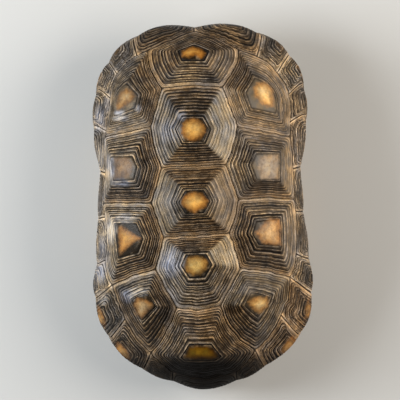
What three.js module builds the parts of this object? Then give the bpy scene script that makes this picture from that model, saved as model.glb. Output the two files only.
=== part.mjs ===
// The empty shell of an adult male red-footed tortoise, resting on its plastron.
//
// Millimetres, +Z up, +Y towards the head, +X to the animal's right.
// The origin is on the floor under the middle of the shell.
//
// Two bones carry the horn: the domed carapace and the flat plastron, which meet at the two
// bridges. Each horn scute is a plate of its own, 36 over the carapace and 16 under the plastron.
// Neighbouring plates keep the width of a real seam between them.

import * as THREE from 'three';

// ---------------------------------------------------------------- driving dimensions, mm

const CARAPACE_LENGTH = 320;
const CROWN_HEIGHT = 130; // of the seams at the top of the back, over the floor
const KERATIN = 1.8; // thickness of a carapace scute at its edge
const PLASTRON_KERATIN = 1.6;
const BONE = 3.6;
const PLASTRON_BONE = 4;
const JOIN_GAP = 0.3; // between horn and bone, and from a seam to the plate beside it
const PLASTRON_GAP = 0.5; // between the horn and the bone of the plastron
const BRIDGE_GAP = 0.4; // between carapace and plastron where they meet
const VERTEBRAL_BOSS = 7; // how far a scute's middle stands over the level of its seams
const COSTAL_BOSS = 6;
const MARGINAL_BOSS = 1.2;
const DISH_DEPTH = 4.5; // hollow of a male's plastron
const DISH_HALF_WIDTH = 44;
const DISH_HALF_LENGTH = 64;
const DISH_CENTRE_Y = -6;
const PLASTRON_SINK = 1.6; // a larger value gives a wider flat under the plastron
const PLASTRON_CURL = 6; // a larger value turns the plastron up nearer its edge

// ---------------------------------------------------------------- the plan sheet
// Places in plan are given on a sheet whose y runs from the head to the tail. The carapace is
// SHEET_LENGTH of its units long.

const SHEET_LENGTH = 365.3;
const SHEET_CENTRE = [202.3, 207];
const UNIT = CARAPACE_LENGTH / SHEET_LENGTH;

const plan = ([x, y]) => new THREE.Vector2((x - SHEET_CENTRE[0]) * UNIT, (SHEET_CENTRE[1] - y) * UNIT);

// ---------------------------------------------------------------- rim of the carapace
// One station at the outer end of each seam between marginals, clockwise seen from above.
// level: height of the widest line; drop: from there down to the lower edge; tuck: how far the
// lower edge turns in; spread and flare: fullness of the dome in plan and in height.

const station = (x, y, level, drop, tuck, spread, flare) => {
  const at = plan([x, y]);
  return [at.x, at.y, level, drop, tuck, spread, flare];
};

const FRONT_STATION = station(195, 27.5, 64, 12, 0, 2.25, 1.7);
const REAR_STATION = station(204, 388, 39, 14, 1, 2.35, 1.62);

const RIGHT_STATIONS = [
  station(250, 31, 60, 10, 0, 2.2, 1.35),
  station(291, 58, 54, 6, 0, 2.1, 1.15),
  station(305, 98, 48, 8, 1, 2.05, 1.3),
  station(304.5, 136, 45, 15, 3.5, 2, 1.7),
  station(300.5, 171, 46, 19, 5, 2, 2),
  station(303.5, 213, 46, 20, 5, 2, 2),
  station(308, 251, 44, 17, 4, 2, 1.8),
  station(311.5, 290, 42, 9, 1.5, 2.05, 1.35),
  station(303, 328, 41, 5, 0, 2.2, 1.05),
  station(271, 361.5, 40, 6, 0, 2.3, 1.15),
  station(234, 381.5, 39, 11, 0.5, 2.35, 1.5),
];

const LEFT_STATIONS = [
  station(144, 34, 60, 10, 0, 2.2, 1.35),
  station(108, 64, 54, 6, 0, 2.1, 1.15),
  station(95, 104, 48, 8, 1, 2.05, 1.3),
  station(95, 140, 45, 15, 3.5, 2, 1.7),
  station(100, 172, 46, 19, 5, 2, 2),
  station(98, 221, 46, 20, 5, 2, 2),
  station(97, 260, 44, 17, 4, 2, 1.8),
  station(95, 294, 42, 9, 1.5, 2.05, 1.35),
  station(107, 333, 41, 5, 0, 2.2, 1.05),
  station(137, 365, 40, 6, 0, 2.3, 1.15),
  station(177, 382.5, 39, 11, 0.5, 2.35, 1.5),
];

const STATIONS = [FRONT_STATION, ...RIGHT_STATIONS, REAR_STATION, ...LEFT_STATIONS.toReversed()];
const RIM_COUNT = STATIONS.length;
// How far each marginal's lower edge stands out between its two stations, from the neck back.
const MARGINAL_BULGES = [2.6, 2, 1.4, 0.3, 0, 0, 0, 0.5, 0.8, 1.4, 0.6];
const SUPRACAUDAL_BULGE = 0.5;
const HEART = plan([200, 205]); // the point that the dome is drawn around

/** The rim's values at s, counted in stations, on a smooth closed curve through them. */
function rimAt(s) {
  const wrapped = THREE.MathUtils.euclideanModulo(s, RIM_COUNT);
  const index = Math.floor(wrapped);
  const t = wrapped - index;
  const [before, from, to, after] = [-1, 0, 1, 2].map((k) => STATIONS[(index + k + RIM_COUNT) % RIM_COUNT]);
  return from.map((value, i) => {
    const slopeIn = (to[i] - before[i]) / 2;
    const slopeOut = (after[i] - value) / 2;
    const rise = to[i] - value;
    const square = 3 * rise - 2 * slopeIn - slopeOut;
    const cube = slopeIn + slopeOut - 2 * rise;
    return value + t * (slopeIn + t * (square + t * cube));
  });
}

/** A point of the dome: g is 0 at the crown, 1 on the widest line and 2 on the lower edge. */
function dome(s, g) {
  const [x, y, level, drop, tuck, spread, flare] = rimAt(s);
  const outward = new THREE.Vector2(x, y).sub(HEART);
  const turn = (Math.min(g, 1) * Math.PI) / 2;
  const below = Math.max(g - 1, 0);
  const reach = Math.sin(turn) ** (2 / spread) - (tuck / outward.length()) * below ** 2;
  const height = level + (CROWN_HEIGHT - level) * Math.max(Math.cos(turn), 0) ** (2 / flare) - drop * below;
  return new THREE.Vector3(HEART.x + outward.x * reach, HEART.y + outward.y * reach, height);
}

/** The outward normal of the dome. */
function domeNormal(s, g) {
  const step = 0.004;
  const along = dome(s + step, g).sub(dome(s - step, g));
  const down = dome(s, Math.min(g + step, 2)).sub(dome(s, Math.max(g - step, 0)));
  return along.cross(down).normalize();
}

/** Clockwise angle of a plan point about the heart, from the front station. */
function bearing(point) {
  const ahead = new THREE.Vector2(FRONT_STATION[0], FRONT_STATION[1]).sub(HEART);
  const way = point.clone().sub(HEART);
  const angle = Math.atan2(ahead.y, ahead.x) - Math.atan2(way.y, way.x);
  return THREE.MathUtils.euclideanModulo(angle, 2 * Math.PI);
}

/** The s and g of the place on the dome over a plan point. */
function locate(point) {
  const wanted = bearing(point);
  let low = 0;
  let high = RIM_COUNT;
  for (let round = 0; round < 40; round += 1) {
    const middle = (low + high) / 2;
    const [x, y] = rimAt(middle);
    if (bearing(new THREE.Vector2(x, y)) < wanted) low = middle;
    else high = middle;
  }
  const s = (low + high) / 2;
  const [x, y, , , , spread] = rimAt(s);
  const reach = point.distanceTo(HEART) / Math.hypot(x - HEART.x, y - HEART.y);
  return { s, g: (2 / Math.PI) * Math.asin(Math.min(reach, 1) ** (spread / 2)) };
}

// ---------------------------------------------------------------- seams of the carapace
// Corners where three scutes meet, on the sheet: [left side, right side].

const SIDES = ['left', 'right'];

const CORNERS = {
  v1_c1_m1: [[148, 51], [238, 50]],
  v1_v2: [[162, 89], [222, 88]],
  v2_side: [[151, 127], [237, 127]],
  v2_v3: [[162, 168], [226, 165]],
  v3_side: [[152, 203], [238, 199]],
  v3_v4: [[164, 237], [229, 233]],
  v4_side: [[156, 269], [240, 268]],
  v4_v5: [[177, 307], [220, 305]],
  c1_c2_rim: [[105, 137], [290, 137]],
  c2_c3_rim: [[103, 203], [294, 199]],
  m1_m2: [[137, 56], [257, 57]],
  m2_m3: [[117, 74], [277, 73]],
  m3_m4: [[110, 98], [289, 94]],
  m4_m5: [[106, 131], [290, 122]],
  m5_m6: [[105, 173], [293, 169]],
  m6_m7: [[105, 217], [296, 211]],
  m7_m8: [[105, 260], [296, 254]],
  m8_m9: [[112, 285], [290, 277]],
  m9_m10: [[125, 319], [281, 315]],
  m10_m11: [[151, 353], [255, 350]],
  m11_tail: [[173, 372], [236, 372]],
};
const NECK_CORNER = [194, 31];

// Seams of each side: first corner, points between for the left and the right, last corner.

const SIDE_SEAMS = {
  v1_m1: ['neck', [[175, 39]], [[216, 38]], 'v1_c1_m1'],
  c1_m1: ['v1_c1_m1', [], [], 'm1_m2'],
  c1_m2: ['m1_m2', [[127, 63]], [[268, 63]], 'm2_m3'],
  c1_m3: ['m2_m3', [[112, 86]], [[285, 84]], 'm3_m4'],
  c1_m4: ['m3_m4', [[108, 115]], [[291, 108]], 'm4_m5'],
  c1_m5: ['m4_m5', [], [], 'c1_c2_rim'],
  c2_m5: ['c1_c2_rim', [[105, 155]], [[292, 154]], 'm5_m6'],
  c2_m6: ['m5_m6', [[104, 188]], [[294, 184]], 'c2_c3_rim'],
  c3_m6: ['c2_c3_rim', [], [], 'm6_m7'],
  c3_m7: ['m6_m7', [[107, 239]], [[297, 232]], 'm7_m8'],
  c3_m8: ['m7_m8', [[107, 273]], [[294, 267]], 'm8_m9'],
  c4_m9: ['m8_m9', [[118, 302]], [[288, 297]], 'm9_m10'],
  c4_m10: ['m9_m10', [[137, 338]], [[270, 335]], 'm10_m11'],
  v5_m11: ['m10_m11', [[162, 364]], [[247, 362]], 'm11_tail'],
  v1_c1: ['v1_c1_m1', [[149, 64], [154, 77]], [[238, 60], [232, 73]], 'v1_v2'],
  v2_c1: ['v1_v2', [[157, 107]], [[230, 107]], 'v2_side'],
  v2_c2: ['v2_side', [[155, 148]], [[233, 146]], 'v2_v3'],
  v3_c2: ['v2_v3', [[157, 186]], [[232, 182]], 'v3_side'],
  v3_c3: ['v3_side', [[158, 220]], [[235, 216]], 'v3_v4'],
  v4_c3: ['v3_v4', [[160, 253]], [[235, 250]], 'v4_side'],
  v4_c4: ['v4_side', [[166, 288]], [[230, 287]], 'v4_v5'],
  v5_c4: ['v4_v5', [[171, 322], [162, 339]], [[227, 323], [240, 339]], 'm10_m11'],
  c1_c2: ['v2_side', [[128, 132]], [[263, 132]], 'c1_c2_rim'],
  c2_c3: ['v3_side', [[128, 203]], [[266, 198]], 'c2_c3_rim'],
  c3_c4: ['v4_side', [[135, 275]], [[266, 271]], 'm8_m9'],
};

// Seams that cross the middle: the corner at both ends, and the point between.

const CROSS_SEAMS = {
  v1_v2: ['v1_v2', [192, 86]],
  v2_v3: ['v2_v3', [194, 166]],
  v3_v4: ['v3_v4', [197, 235]],
  v4_v5: ['v4_v5', [199, 309]],
  v5_tail: ['m11_tail', [204, 378]],
};

const SEAM_STEPS = 2; // straight lengths between two given points of a seam

/** Points on a smooth line through sheet points, ends included. */
function seamThrough(points) {
  const curve = new THREE.SplineCurve(points.map(plan));
  return curve.getPoints((points.length - 1) * SEAM_STEPS);
}

const seams = new Map();
SIDES.forEach((side, i) => {
  const corner = (name) => (name === 'neck' ? NECK_CORNER : CORNERS[name][i]);
  for (const [name, [first, left, right, last]] of Object.entries(SIDE_SEAMS)) {
    const between = side === 'left' ? left : right;
    seams.set(`${name}_${side}`, seamThrough([corner(first), ...between, corner(last)]));
  }
});
for (const [name, [corner, middle]] of Object.entries(CROSS_SEAMS)) {
  seams.set(name, seamThrough([CORNERS[corner][0], middle, CORNERS[corner][1]]));
}

/** Joins seams, in order round a scute, into one closed counterclockwise loop. */
function chain(lines) {
  const same = (a, b) => a.distanceTo(b) < 1e-6;
  const [first, second] = lines;
  const startsRight = same(first.at(-1), second[0]) || same(first.at(-1), second.at(-1));
  const loop = startsRight ? [...first] : first.toReversed();
  for (const line of lines.slice(1)) {
    const onward = same(loop.at(-1), line[0]) ? line : line.toReversed();
    loop.push(...onward.slice(1));
  }
  loop.pop();
  return THREE.ShapeUtils.area(loop) > 0 ? loop : loop.reverse();
}

// ---------------------------------------------------------------- turning loops into solids

/** Collects the triangles of one closed solid. */
class Skin {
  corners = [];

  triangle(a, b, c) {
    this.corners.push(a, b, c);
  }

  quad(a, b, c, d) {
    this.triangle(a, b, c);
    this.triangle(a, c, d);
  }

  /** A strip between two loops of the same count, the first outside the second. */
  band(outer, inner) {
    outer.forEach((point, i) => {
      const next = (i + 1) % outer.length;
      this.quad(point, outer[next], inner[next], inner[i]);
    });
  }

  fan(loop, middle) {
    loop.forEach((point, i) => this.triangle(point, loop[(i + 1) % loop.length], middle));
  }

  /** Loops from the edge inwards and a last point, facing up the side they run counterclockwise. */
  cap(loops, middle) {
    for (let i = 0; i + 1 < loops.length; i += 1) this.band(loops[i], loops[i + 1]);
    this.fan(loops.at(-1), middle);
  }

  /** The same cap facing the other way, cut along the same diagonals. */
  backCap(loops, middle) {
    const front = new Skin();
    front.cap(loops, middle);
    this.corners.push(...front.corners.toReversed());
  }

  geometry() {
    return new THREE.BufferGeometry().setFromPoints(this.corners);
  }
}

const offset = (point, normal, distance) => point.clone().addScaledVector(normal, distance);

const FINISHES = {
  keratin: { color: 0x4b3d2d, roughness: 0.45 },
  plastronKeratin: { color: 0x9a7a45, roughness: 0.5 },
  bone: { color: 0xd9cdb2, roughness: 0.8 },
};

const shell = new THREE.Group();

function addPiece(name, skin, finish) {
  const material = new THREE.MeshStandardMaterial({ ...FINISHES[finish], metalness: 0 });
  const piece = new THREE.Mesh(skin.geometry(), material);
  piece.name = name;
  shell.add(piece);
}

// ---------------------------------------------------------------- vertebral and costal scutes
// heart: middle of the areola, on the sheet; core: its share of the way out to the seams.

const VERTEBRALS = [
  {
    heart: [194, 54],
    core: 0.27,
    round: ['v1_m1_left', 'v1_m1_right', 'v1_c1_right', 'v1_v2', 'v1_c1_left'],
  },
  {
    heart: [193, 130],
    core: 0.28,
    round: ['v1_v2', 'v2_c1_right', 'v2_c2_right', 'v2_v3', 'v2_c2_left', 'v2_c1_left'],
  },
  {
    heart: [194, 202],
    core: 0.28,
    round: ['v2_v3', 'v3_c2_right', 'v3_c3_right', 'v3_v4', 'v3_c3_left', 'v3_c2_left'],
  },
  {
    heart: [197, 264],
    core: 0.28,
    round: ['v3_v4', 'v4_c3_right', 'v4_c4_right', 'v4_v5', 'v4_c4_left', 'v4_c3_left'],
  },
  {
    heart: [199, 352],
    core: 0.26,
    round: ['v4_v5', 'v5_c4_right', 'v5_m11_right', 'v5_tail', 'v5_m11_left', 'v5_c4_left'],
  },
];

const COSTALS = [
  {
    hearts: [[126, 98], [262, 96]],
    core: 0.3,
    round: ['v1_c1', 'c1_m1', 'c1_m2', 'c1_m3', 'c1_m4', 'c1_m5', 'c1_c2', 'v2_c1'],
  },
  {
    hearts: [[123, 167], [265, 166]],
    core: 0.36,
    round: ['v2_c2', 'c1_c2', 'c2_m5', 'c2_m6', 'c2_c3', 'v3_c2'],
  },
  {
    hearts: [[128, 238], [268, 232]],
    core: 0.34,
    round: ['v3_c3', 'c2_c3', 'c3_m6', 'c3_m7', 'c3_m8', 'c3_c4', 'v4_c3'],
  },
  {
    hearts: [[143, 305], [258, 303]],
    core: 0.28,
    round: ['v4_c4', 'c3_c4', 'c4_m9', 'c4_m10', 'v5_c4'],
  },
];

const MIDDLE_SHARE = 0.62; // of the way out, where a scute's slope is given an edge more
const HORN_AT_HEART = 2.2; // thickness of the horn under the areola

/** The rise of a scute over its seams, for a share of the way out from the areola's middle. */
function rise(share, core) {
  const up = Math.min((1 - share) / (1 - core), 1);
  return up * (1.2 - 0.2 * up);
}

const fields = []; // what each stretch of bone needs to lie under its scute

function addDomeScute(name, boundary, heartSheet, core, boss) {
  const heart = plan(heartSheet);
  const lift = (point, height) => {
    const { s, g } = locate(point);
    return offset(dome(s, g), domeNormal(s, g), height);
  };
  const loopAt = (share, height) => {
    const grown = boundary.map((point) => {
      const length = point.distanceTo(heart);
      return heart.clone().lerp(point, share * (1 - JOIN_GAP / length));
    });
    return grown.map((point) => lift(point, height));
  };
  const edge = loopAt(1, 0);
  const inner = loopAt(1, -KERATIN);
  const middle = loopAt(MIDDLE_SHARE, boss * rise(MIDDLE_SHARE, core));
  const skin = new Skin();
  skin.cap([edge, middle, loopAt(core, boss)], lift(heart, boss));
  skin.backCap([inner], lift(heart, boss - HORN_AT_HEART));
  skin.band(inner, edge);
  addPiece(name, skin, 'keratin');
  fields.push({ boundary, lift, heart, boss });
}

VERTEBRALS.forEach(({ heart, core, round }, i) => {
  const boundary = chain(round.map((name) => seams.get(name)));
  addDomeScute(`vertebral_${i + 1}`, boundary, heart, core, VERTEBRAL_BOSS);
});

COSTALS.forEach(({ hearts, core, round }, i) => {
  SIDES.forEach((side, j) => {
    const boundary = chain(round.map((name) => seams.get(`${name}_${side}`)));
    addDomeScute(`costal_${side}_${i + 1}`, boundary, hearts[j], core, COSTAL_BOSS);
  });
});

// ---------------------------------------------------------------- marginal scutes
// A marginal is drawn on a chart: u runs clockwise along the rim, v from its upper seam to the
// lower edge. Its areola lies low and towards the tail.

const MARGINAL_TOPS = [
  ['v1_m1', 'c1_m1'],
  ['c1_m2'],
  ['c1_m3'],
  ['c1_m4'],
  ['c1_m5', 'c2_m5'],
  ['c2_m6', 'c3_m6'],
  ['c3_m7'],
  ['c3_m8'],
  ['c4_m9'],
  ['c4_m10'],
  ['v5_m11'],
];
const MARGINAL_ROWS = 3;
const MARGINAL_CORE = 0.3;
const AREOLA_U = 0.7; // on the right side, where u runs towards the tail
const AREOLA_V = 0.62;
const PATH_STEPS = 16;

/** The chart of one marginal under a line of plan points, between two places on the rim. */
function marginalChart(topLine, fromS, toS, bulge) {
  const middleS = (fromS + toS) / 2;
  const places = topLine.map(locate);
  for (const place of places) {
    place.s += RIM_COUNT * Math.round((middleS - place.s) / RIM_COUNT);
  }
  if (places[0].s > places.at(-1).s) {
    places.reverse();
    topLine = topLine.toReversed();
  }
  const lengths = [0];
  for (let i = 1; i < topLine.length; i += 1) {
    lengths.push(lengths[i - 1] + topLine[i].distanceTo(topLine[i - 1]));
  }
  const columns = lengths.map((length) => length / lengths.at(-1));

  const topAt = (u) => {
    const after = Math.max(columns.findIndex((column) => column >= u), 1);
    const share = (u - columns[after - 1]) / (columns[after] - columns[after - 1]);
    const mix = (key) => THREE.MathUtils.lerp(places[after - 1][key], places[after][key], share);
    return { s: mix('s'), g: mix('g') };
  };

  const at = (u, v, height) => {
    const top = topAt(u);
    const lowS = THREE.MathUtils.lerp(fromS, toS, u);
    const placeAt = (t) => [THREE.MathUtils.lerp(top.s, lowS, t), THREE.MathUtils.lerp(top.g, 2, t)];
    const walked = [0];
    for (let i = 1; i <= PATH_STEPS; i += 1) {
      const pace = dome(...placeAt(i / PATH_STEPS)).distanceTo(dome(...placeAt((i - 1) / PATH_STEPS)));
      walked.push(walked[i - 1] + pace);
    }
    const wanted = v * walked.at(-1);
    const after = Math.max(walked.findIndex((length) => length >= wanted), 1);
    const share = (wanted - walked[after - 1]) / (walked[after] - walked[after - 1]);
    const [s, g] = placeAt((after - 1 + share) / PATH_STEPS);
    const point = dome(s, g);
    const outward = new THREE.Vector3(point.x - HEART.x, point.y - HEART.y, 0).normalize();
    point.addScaledVector(outward, bulge * Math.sin(Math.PI * u) * v ** 2);
    return offset(point, domeNormal(s, g), height);
  };
  return { columns, at };
}

/** The rise of a marginal at a place on its chart. */
function marginalRise(u, v, areolaU) {
  const along = Math.max((u - areolaU) / (1 - areolaU), 1 - u / areolaU);
  const down = Math.max((v - AREOLA_V) / (1 - AREOLA_V), 1 - v / AREOLA_V);
  return rise(Math.max(along, down), MARGINAL_CORE);
}

/** Closes a plate whose two faces are grids of the same count, both drawn over the same chart. */
function plateSkin(outer, inner) {
  const skin = new Skin();
  const last = outer.length - 1;
  const bottom = outer[0].length - 1;
  for (let i = 0; i < last; i += 1) {
    for (let j = 0; j < bottom; j += 1) {
      skin.quad(outer[i][j], outer[i + 1][j], outer[i + 1][j + 1], outer[i][j + 1]);
      skin.quad(inner[i][j], inner[i][j + 1], inner[i + 1][j + 1], inner[i + 1][j]);
    }
  }
  const rim = (grid) => [
    ...grid.slice(0, last).map((column) => column[0]),
    ...grid[last].slice(0, bottom),
    ...grid.slice(1).toReversed().map((column) => column[bottom]),
    ...grid[0].slice(1).toReversed(),
  ];
  skin.band(rim(inner), rim(outer));
  return skin;
}

const boneGrids = [];

function addMarginal(name, topLine, fromS, toS, bulge, areolaU) {
  const { columns, at } = marginalChart(topLine, fromS, toS, bulge);
  const rows = Array.from({ length: MARGINAL_ROWS + 1 }, (_, j) => j / MARGINAL_ROWS);
  const deep = at(0.5, 0, 0).distanceTo(at(0.5, 1, 0));
  const wide = at(0, 0.5, 0).distanceTo(at(1, 0.5, 0));
  const insetU = (u) => THREE.MathUtils.lerp(JOIN_GAP / wide, 1 - JOIN_GAP / wide, u);
  const insetV = (v) => THREE.MathUtils.lerp(JOIN_GAP / deep, 1, v);
  const sheet = (heightAt) => columns.map((u) => rows.map((v) => at(insetU(u), insetV(v), heightAt(u, v))));
  const outer = sheet((u, v) => MARGINAL_BOSS * marginalRise(u, v, areolaU));
  const inner = sheet(() => -KERATIN);
  addPiece(name, plateSkin(outer, inner), 'keratin');
  const gridAt = (height) => columns.map((u) => rows.map((v) => at(u, v, height)));
  boneGrids.push([gridAt(-KERATIN - JOIN_GAP), gridAt(-KERATIN - JOIN_GAP - BONE)]);
}

/** Puts seams end to end into one open line. */
function openLine(lines) {
  const [first, ...rest] = lines;
  return rest.reduce((line, next) => [...line, ...next.slice(1)], [...first]);
}

MARGINAL_TOPS.forEach((names, i) => {
  for (const side of SIDES) {
    const topLine = openLine(names.map((name) => seams.get(`${name}_${side}`)));
    const fromS = side === 'right' ? i : RIM_COUNT - i - 1;
    const areolaU = side === 'right' ? AREOLA_U : 1 - AREOLA_U;
    addMarginal(`marginal_${side}_${i + 1}`, topLine, fromS, fromS + 1, MARGINAL_BULGES[i], areolaU);
  }
});
const BEFORE_REAR = RIGHT_STATIONS.length;
addMarginal('supracaudal', seams.get('v5_tail'), BEFORE_REAR, BEFORE_REAR + 2, SUPRACAUDAL_BULGE, 0.5);

// ---------------------------------------------------------------- carapace bone

const carapaceBone = new Skin();
for (const { boundary, lift, heart, boss } of fields) {
  const loopAt = (height) => boundary.map((point) => lift(point, height));
  const top = boss - HORN_AT_HEART - JOIN_GAP;
  carapaceBone.cap([loopAt(-KERATIN - JOIN_GAP)], lift(heart, top));
  carapaceBone.backCap([loopAt(-KERATIN - JOIN_GAP - BONE)], lift(heart, top - BONE));
}
for (const [outer, inner] of boneGrids) {
  const bottom = outer[0].length - 1;
  for (let i = 0; i + 1 < outer.length; i += 1) {
    for (let j = 0; j < bottom; j += 1) {
      carapaceBone.quad(outer[i][j], outer[i + 1][j], outer[i + 1][j + 1], outer[i][j + 1]);
      carapaceBone.quad(inner[i][j], inner[i][j + 1], inner[i + 1][j + 1], inner[i + 1][j]);
    }
    carapaceBone.quad(outer[i][bottom], outer[i + 1][bottom], inner[i + 1][bottom], inner[i][bottom]);
  }
}
addPiece('carapace_bone', carapaceBone, 'bone');

// ---------------------------------------------------------------- plastron
// Corners on the right half, on the sheet, with their height over the floor where they lie on
// the edge. A number in a list of corners is a place on the carapace's lower edge instead.

const MIRROR = 398; // the sheet x of a place and of its mirror image add up to this
const PLASTRON_HEART = plan([MIRROR / 2, 205]);

const PLASTRON_CORNERS = {
  front: [199, 52, 9],
  gular_tip: [214, 47, 9.5],
  gular_corner: [224, 53, 8.5],
  gular_middle: [199, 84],
  shoulder: [233, 58, 7.5],
  arm: [255, 84, 6.5],
  armpit: [267, 108, 9],
  axilla: [271, 124, 15],
  humeral_bend: [235, 136],
  humeral_middle: [199, 137],
  pectoral_bend: [240, 153],
  pectoral_middle: [199, 152],
  abdominal_bend: [240, 268],
  abdominal_middle: [199, 262],
  groin: [269, 284, 14],
  thigh: [263, 305, 8],
  knee: [255, 330, 5],
  anal_corner: [247, 344, 4.5],
  femoral_bend: [235, 330],
  femoral_middle: [199, 318],
  anal_side: [239, 352, 4.2],
  anal_tip: [223, 360, 4],
  anal_notch: [199, 343, 3.6],
};

const BRIDGE = Array.from({ length: 12 }, (_, i) => 11 / 3 + i / 3);

// Loops that a plate is drawn with, as shares of the way out from its heart.
const SHARES = [1, 0.72, 0.4];
const FEW_SHARES = [1, 0.5];

const PLASTRALS = {
  gular: {
    heart: [209, 60],
    shares: FEW_SHARES,
    round: ['front', 'gular_tip', 'gular_corner', 'gular_middle'],
  },
  humeral: {
    heart: [228, 104],
    round: [
      'gular_middle',
      'gular_corner',
      'shoulder',
      'arm',
      'armpit',
      'axilla',
      'humeral_bend',
      'humeral_middle',
    ],
  },
  axillary: { heart: [292, 132], shares: FEW_SHARES, round: ['axilla', ...BRIDGE.slice(0, 3)] },
  pectoral: {
    heart: [258, 144],
    round: [
      'humeral_middle',
      'humeral_bend',
      'axilla',
      ...BRIDGE.slice(2, 5),
      'pectoral_bend',
      'pectoral_middle',
    ],
  },
  abdominal: {
    heart: [243, 208],
    round: [
      'pectoral_middle',
      'pectoral_bend',
      ...BRIDGE.slice(4, 10),
      'groin',
      'abdominal_bend',
      'abdominal_middle',
    ],
  },
  inguinal: { heart: [295, 262], shares: FEW_SHARES, round: [...BRIDGE.slice(9, 12), 'groin'] },
  femoral: {
    heart: [230, 300],
    round: [
      'abdominal_middle',
      'abdominal_bend',
      'groin',
      'thigh',
      'knee',
      'anal_corner',
      'femoral_bend',
      'femoral_middle',
    ],
  },
  anal: {
    heart: [218, 341],
    round: ['femoral_middle', 'femoral_bend', 'anal_corner', 'anal_side', 'anal_tip', 'anal_notch'],
  },
};

const EDGE_ROUND = [
  'front',
  'gular_tip',
  'gular_corner',
  'shoulder',
  'arm',
  'armpit',
  'axilla',
  ...BRIDGE,
  'groin',
  'thigh',
  'knee',
  'anal_corner',
  'anal_side',
  'anal_tip',
  'anal_notch',
];

const PLASTRON_STEP = 32; // longest straight length of an edge or seam, mm
const SLOPE_REACH = 5; // how far to each side the underside's slope is measured, mm

/** A corner of the plastron on one side: its plan point, and its height and normal if known. */
function plastronCorner(side, key) {
  if (typeof key === 'number') {
    const s = side === 'right' ? key : RIM_COUNT - key;
    const edge = dome(s, 2);
    const down = edge.clone().sub(dome(s, 1.98)).normalize();
    edge.addScaledVector(down, BRIDGE_GAP);
    return { at: new THREE.Vector2(edge.x, edge.y), height: edge.z, normal: domeNormal(s, 2) };
  }
  const [x, y, height] = PLASTRON_CORNERS[key];
  return { at: plan([side === 'right' ? x : MIRROR - x, y]), height };
}

/** Corners and, on long stretches, points between them. */
function plastronLine(corners, closed) {
  const line = [];
  corners.forEach((corner, i) => {
    if (!closed && i === corners.length - 1) {
      line.push(corner);
      return;
    }
    const next = corners[(i + 1) % corners.length];
    const steps = Math.max(1, Math.ceil(corner.at.distanceTo(next.at) / PLASTRON_STEP));
    line.push(corner);
    for (let k = 1; k < steps; k += 1) {
      const height = THREE.MathUtils.lerp(corner.height, next.height, k / steps);
      line.push({ at: corner.at.clone().lerp(next.at, k / steps), height });
    }
  });
  return line;
}

const edgeOf = (side) => plastronLine(EDGE_ROUND.map((key) => plastronCorner(side, key)), false);
const plastronEdge = [...edgeOf('right'), ...edgeOf('left').slice(1, -1).toReversed()];

/** How far out the plastron's edge lies in a direction from its heart, and how high. */
function edgeTowards(way) {
  for (let i = 0; i < plastronEdge.length; i += 1) {
    const from = plastronEdge[i];
    const to = plastronEdge[(i + 1) % plastronEdge.length];
    const a = from.at.clone().sub(PLASTRON_HEART);
    const b = to.at.clone().sub(PLASTRON_HEART);
    const sideA = a.cross(way);
    const sideB = b.cross(way);
    if (sideA <= 0 && sideB >= 0 && sideA !== sideB) {
      const share = sideA / (sideA - sideB);
      const meet = a.lerp(b, share);
      if (meet.dot(way) > 0) {
        return { radius: meet.length(), height: THREE.MathUtils.lerp(from.height, to.height, share) };
      }
    }
  }
  throw new Error('the edge of the plastron does not go all the way round');
}

/** Height of the plastron's underside over the floor. */
function plastronHeight(point) {
  const way = point.clone().sub(PLASTRON_HEART);
  const { radius, height } = edgeTowards(way);
  const out = way.length() / radius;
  const across = way.x / DISH_HALF_WIDTH;
  const along = (point.y - DISH_CENTRE_Y) / DISH_HALF_LENGTH;
  const dish = (DISH_DEPTH + PLASTRON_SINK) * Math.max(0, 1 - across ** 2 - along ** 2) ** 2;
  return Math.max(0, (height + PLASTRON_SINK) * out ** PLASTRON_CURL - PLASTRON_SINK + dish);
}

/** The downward normal of the plastron, evened out over its creases. */
function plastronNormal(point) {
  const slope = (dx, dy) => {
    const ahead = plastronHeight(new THREE.Vector2(point.x + dx, point.y + dy));
    const behind = plastronHeight(new THREE.Vector2(point.x - dx, point.y - dy));
    return (ahead - behind) / (2 * SLOPE_REACH);
  };
  return new THREE.Vector3(slope(SLOPE_REACH, 0), slope(0, SLOPE_REACH), -1).normalize();
}

/** A point over the plastron's underside by a depth, and along a known normal if it has one. */
function plastronPoint(point, depth, normal) {
  const place = new THREE.Vector3(point.x, point.y, plastronHeight(point));
  return offset(place, normal ?? plastronNormal(point), -depth);
}

const plastronBone = new Skin();
for (const [name, { heart: heartSheet, round, shares = SHARES }] of Object.entries(PLASTRALS)) {
  for (const side of SIDES) {
    const heart = plan(side === 'right' ? heartSheet : [MIRROR - heartSheet[0], heartSheet[1]]);
    const corners = plastronLine(round.map((key) => plastronCorner(side, key)), true);
    if (THREE.ShapeUtils.area(corners.map(({ at }) => at)) > 0) corners.reverse();
    const loops = (depth) => shares.map((share) => corners.map(({ at, normal }) => (
      plastronPoint(heart.clone().lerp(at, share), depth, share === 1 ? normal : undefined)
    )));
    const drawnIn = ([edge, next, ...rest]) => {
      const kept = edge.map((point, i) => {
        const share = JOIN_GAP / point.distanceTo(next[i]);
        return point.clone().lerp(next[i], share);
      });
      return [kept, next, ...rest];
    };
    const skin = new Skin();
    const outer = drawnIn(loops(0));
    const inner = drawnIn(loops(PLASTRON_KERATIN));
    skin.cap(outer, plastronPoint(heart, 0));
    skin.backCap(inner, plastronPoint(heart, PLASTRON_KERATIN));
    skin.band(inner[0], outer[0]);
    addPiece(`${name}_${side}`, skin, 'plastronKeratin');
    const boneDepth = PLASTRON_KERATIN + PLASTRON_GAP;
    plastronBone.cap(loops(boneDepth), plastronPoint(heart, boneDepth));
    const topDepth = boneDepth + PLASTRON_BONE;
    plastronBone.backCap(loops(topDepth), plastronPoint(heart, topDepth));
  }
}
const edgeAt = (depth) => plastronEdge.map(({ at, normal }) => plastronPoint(at, depth, normal));
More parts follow.
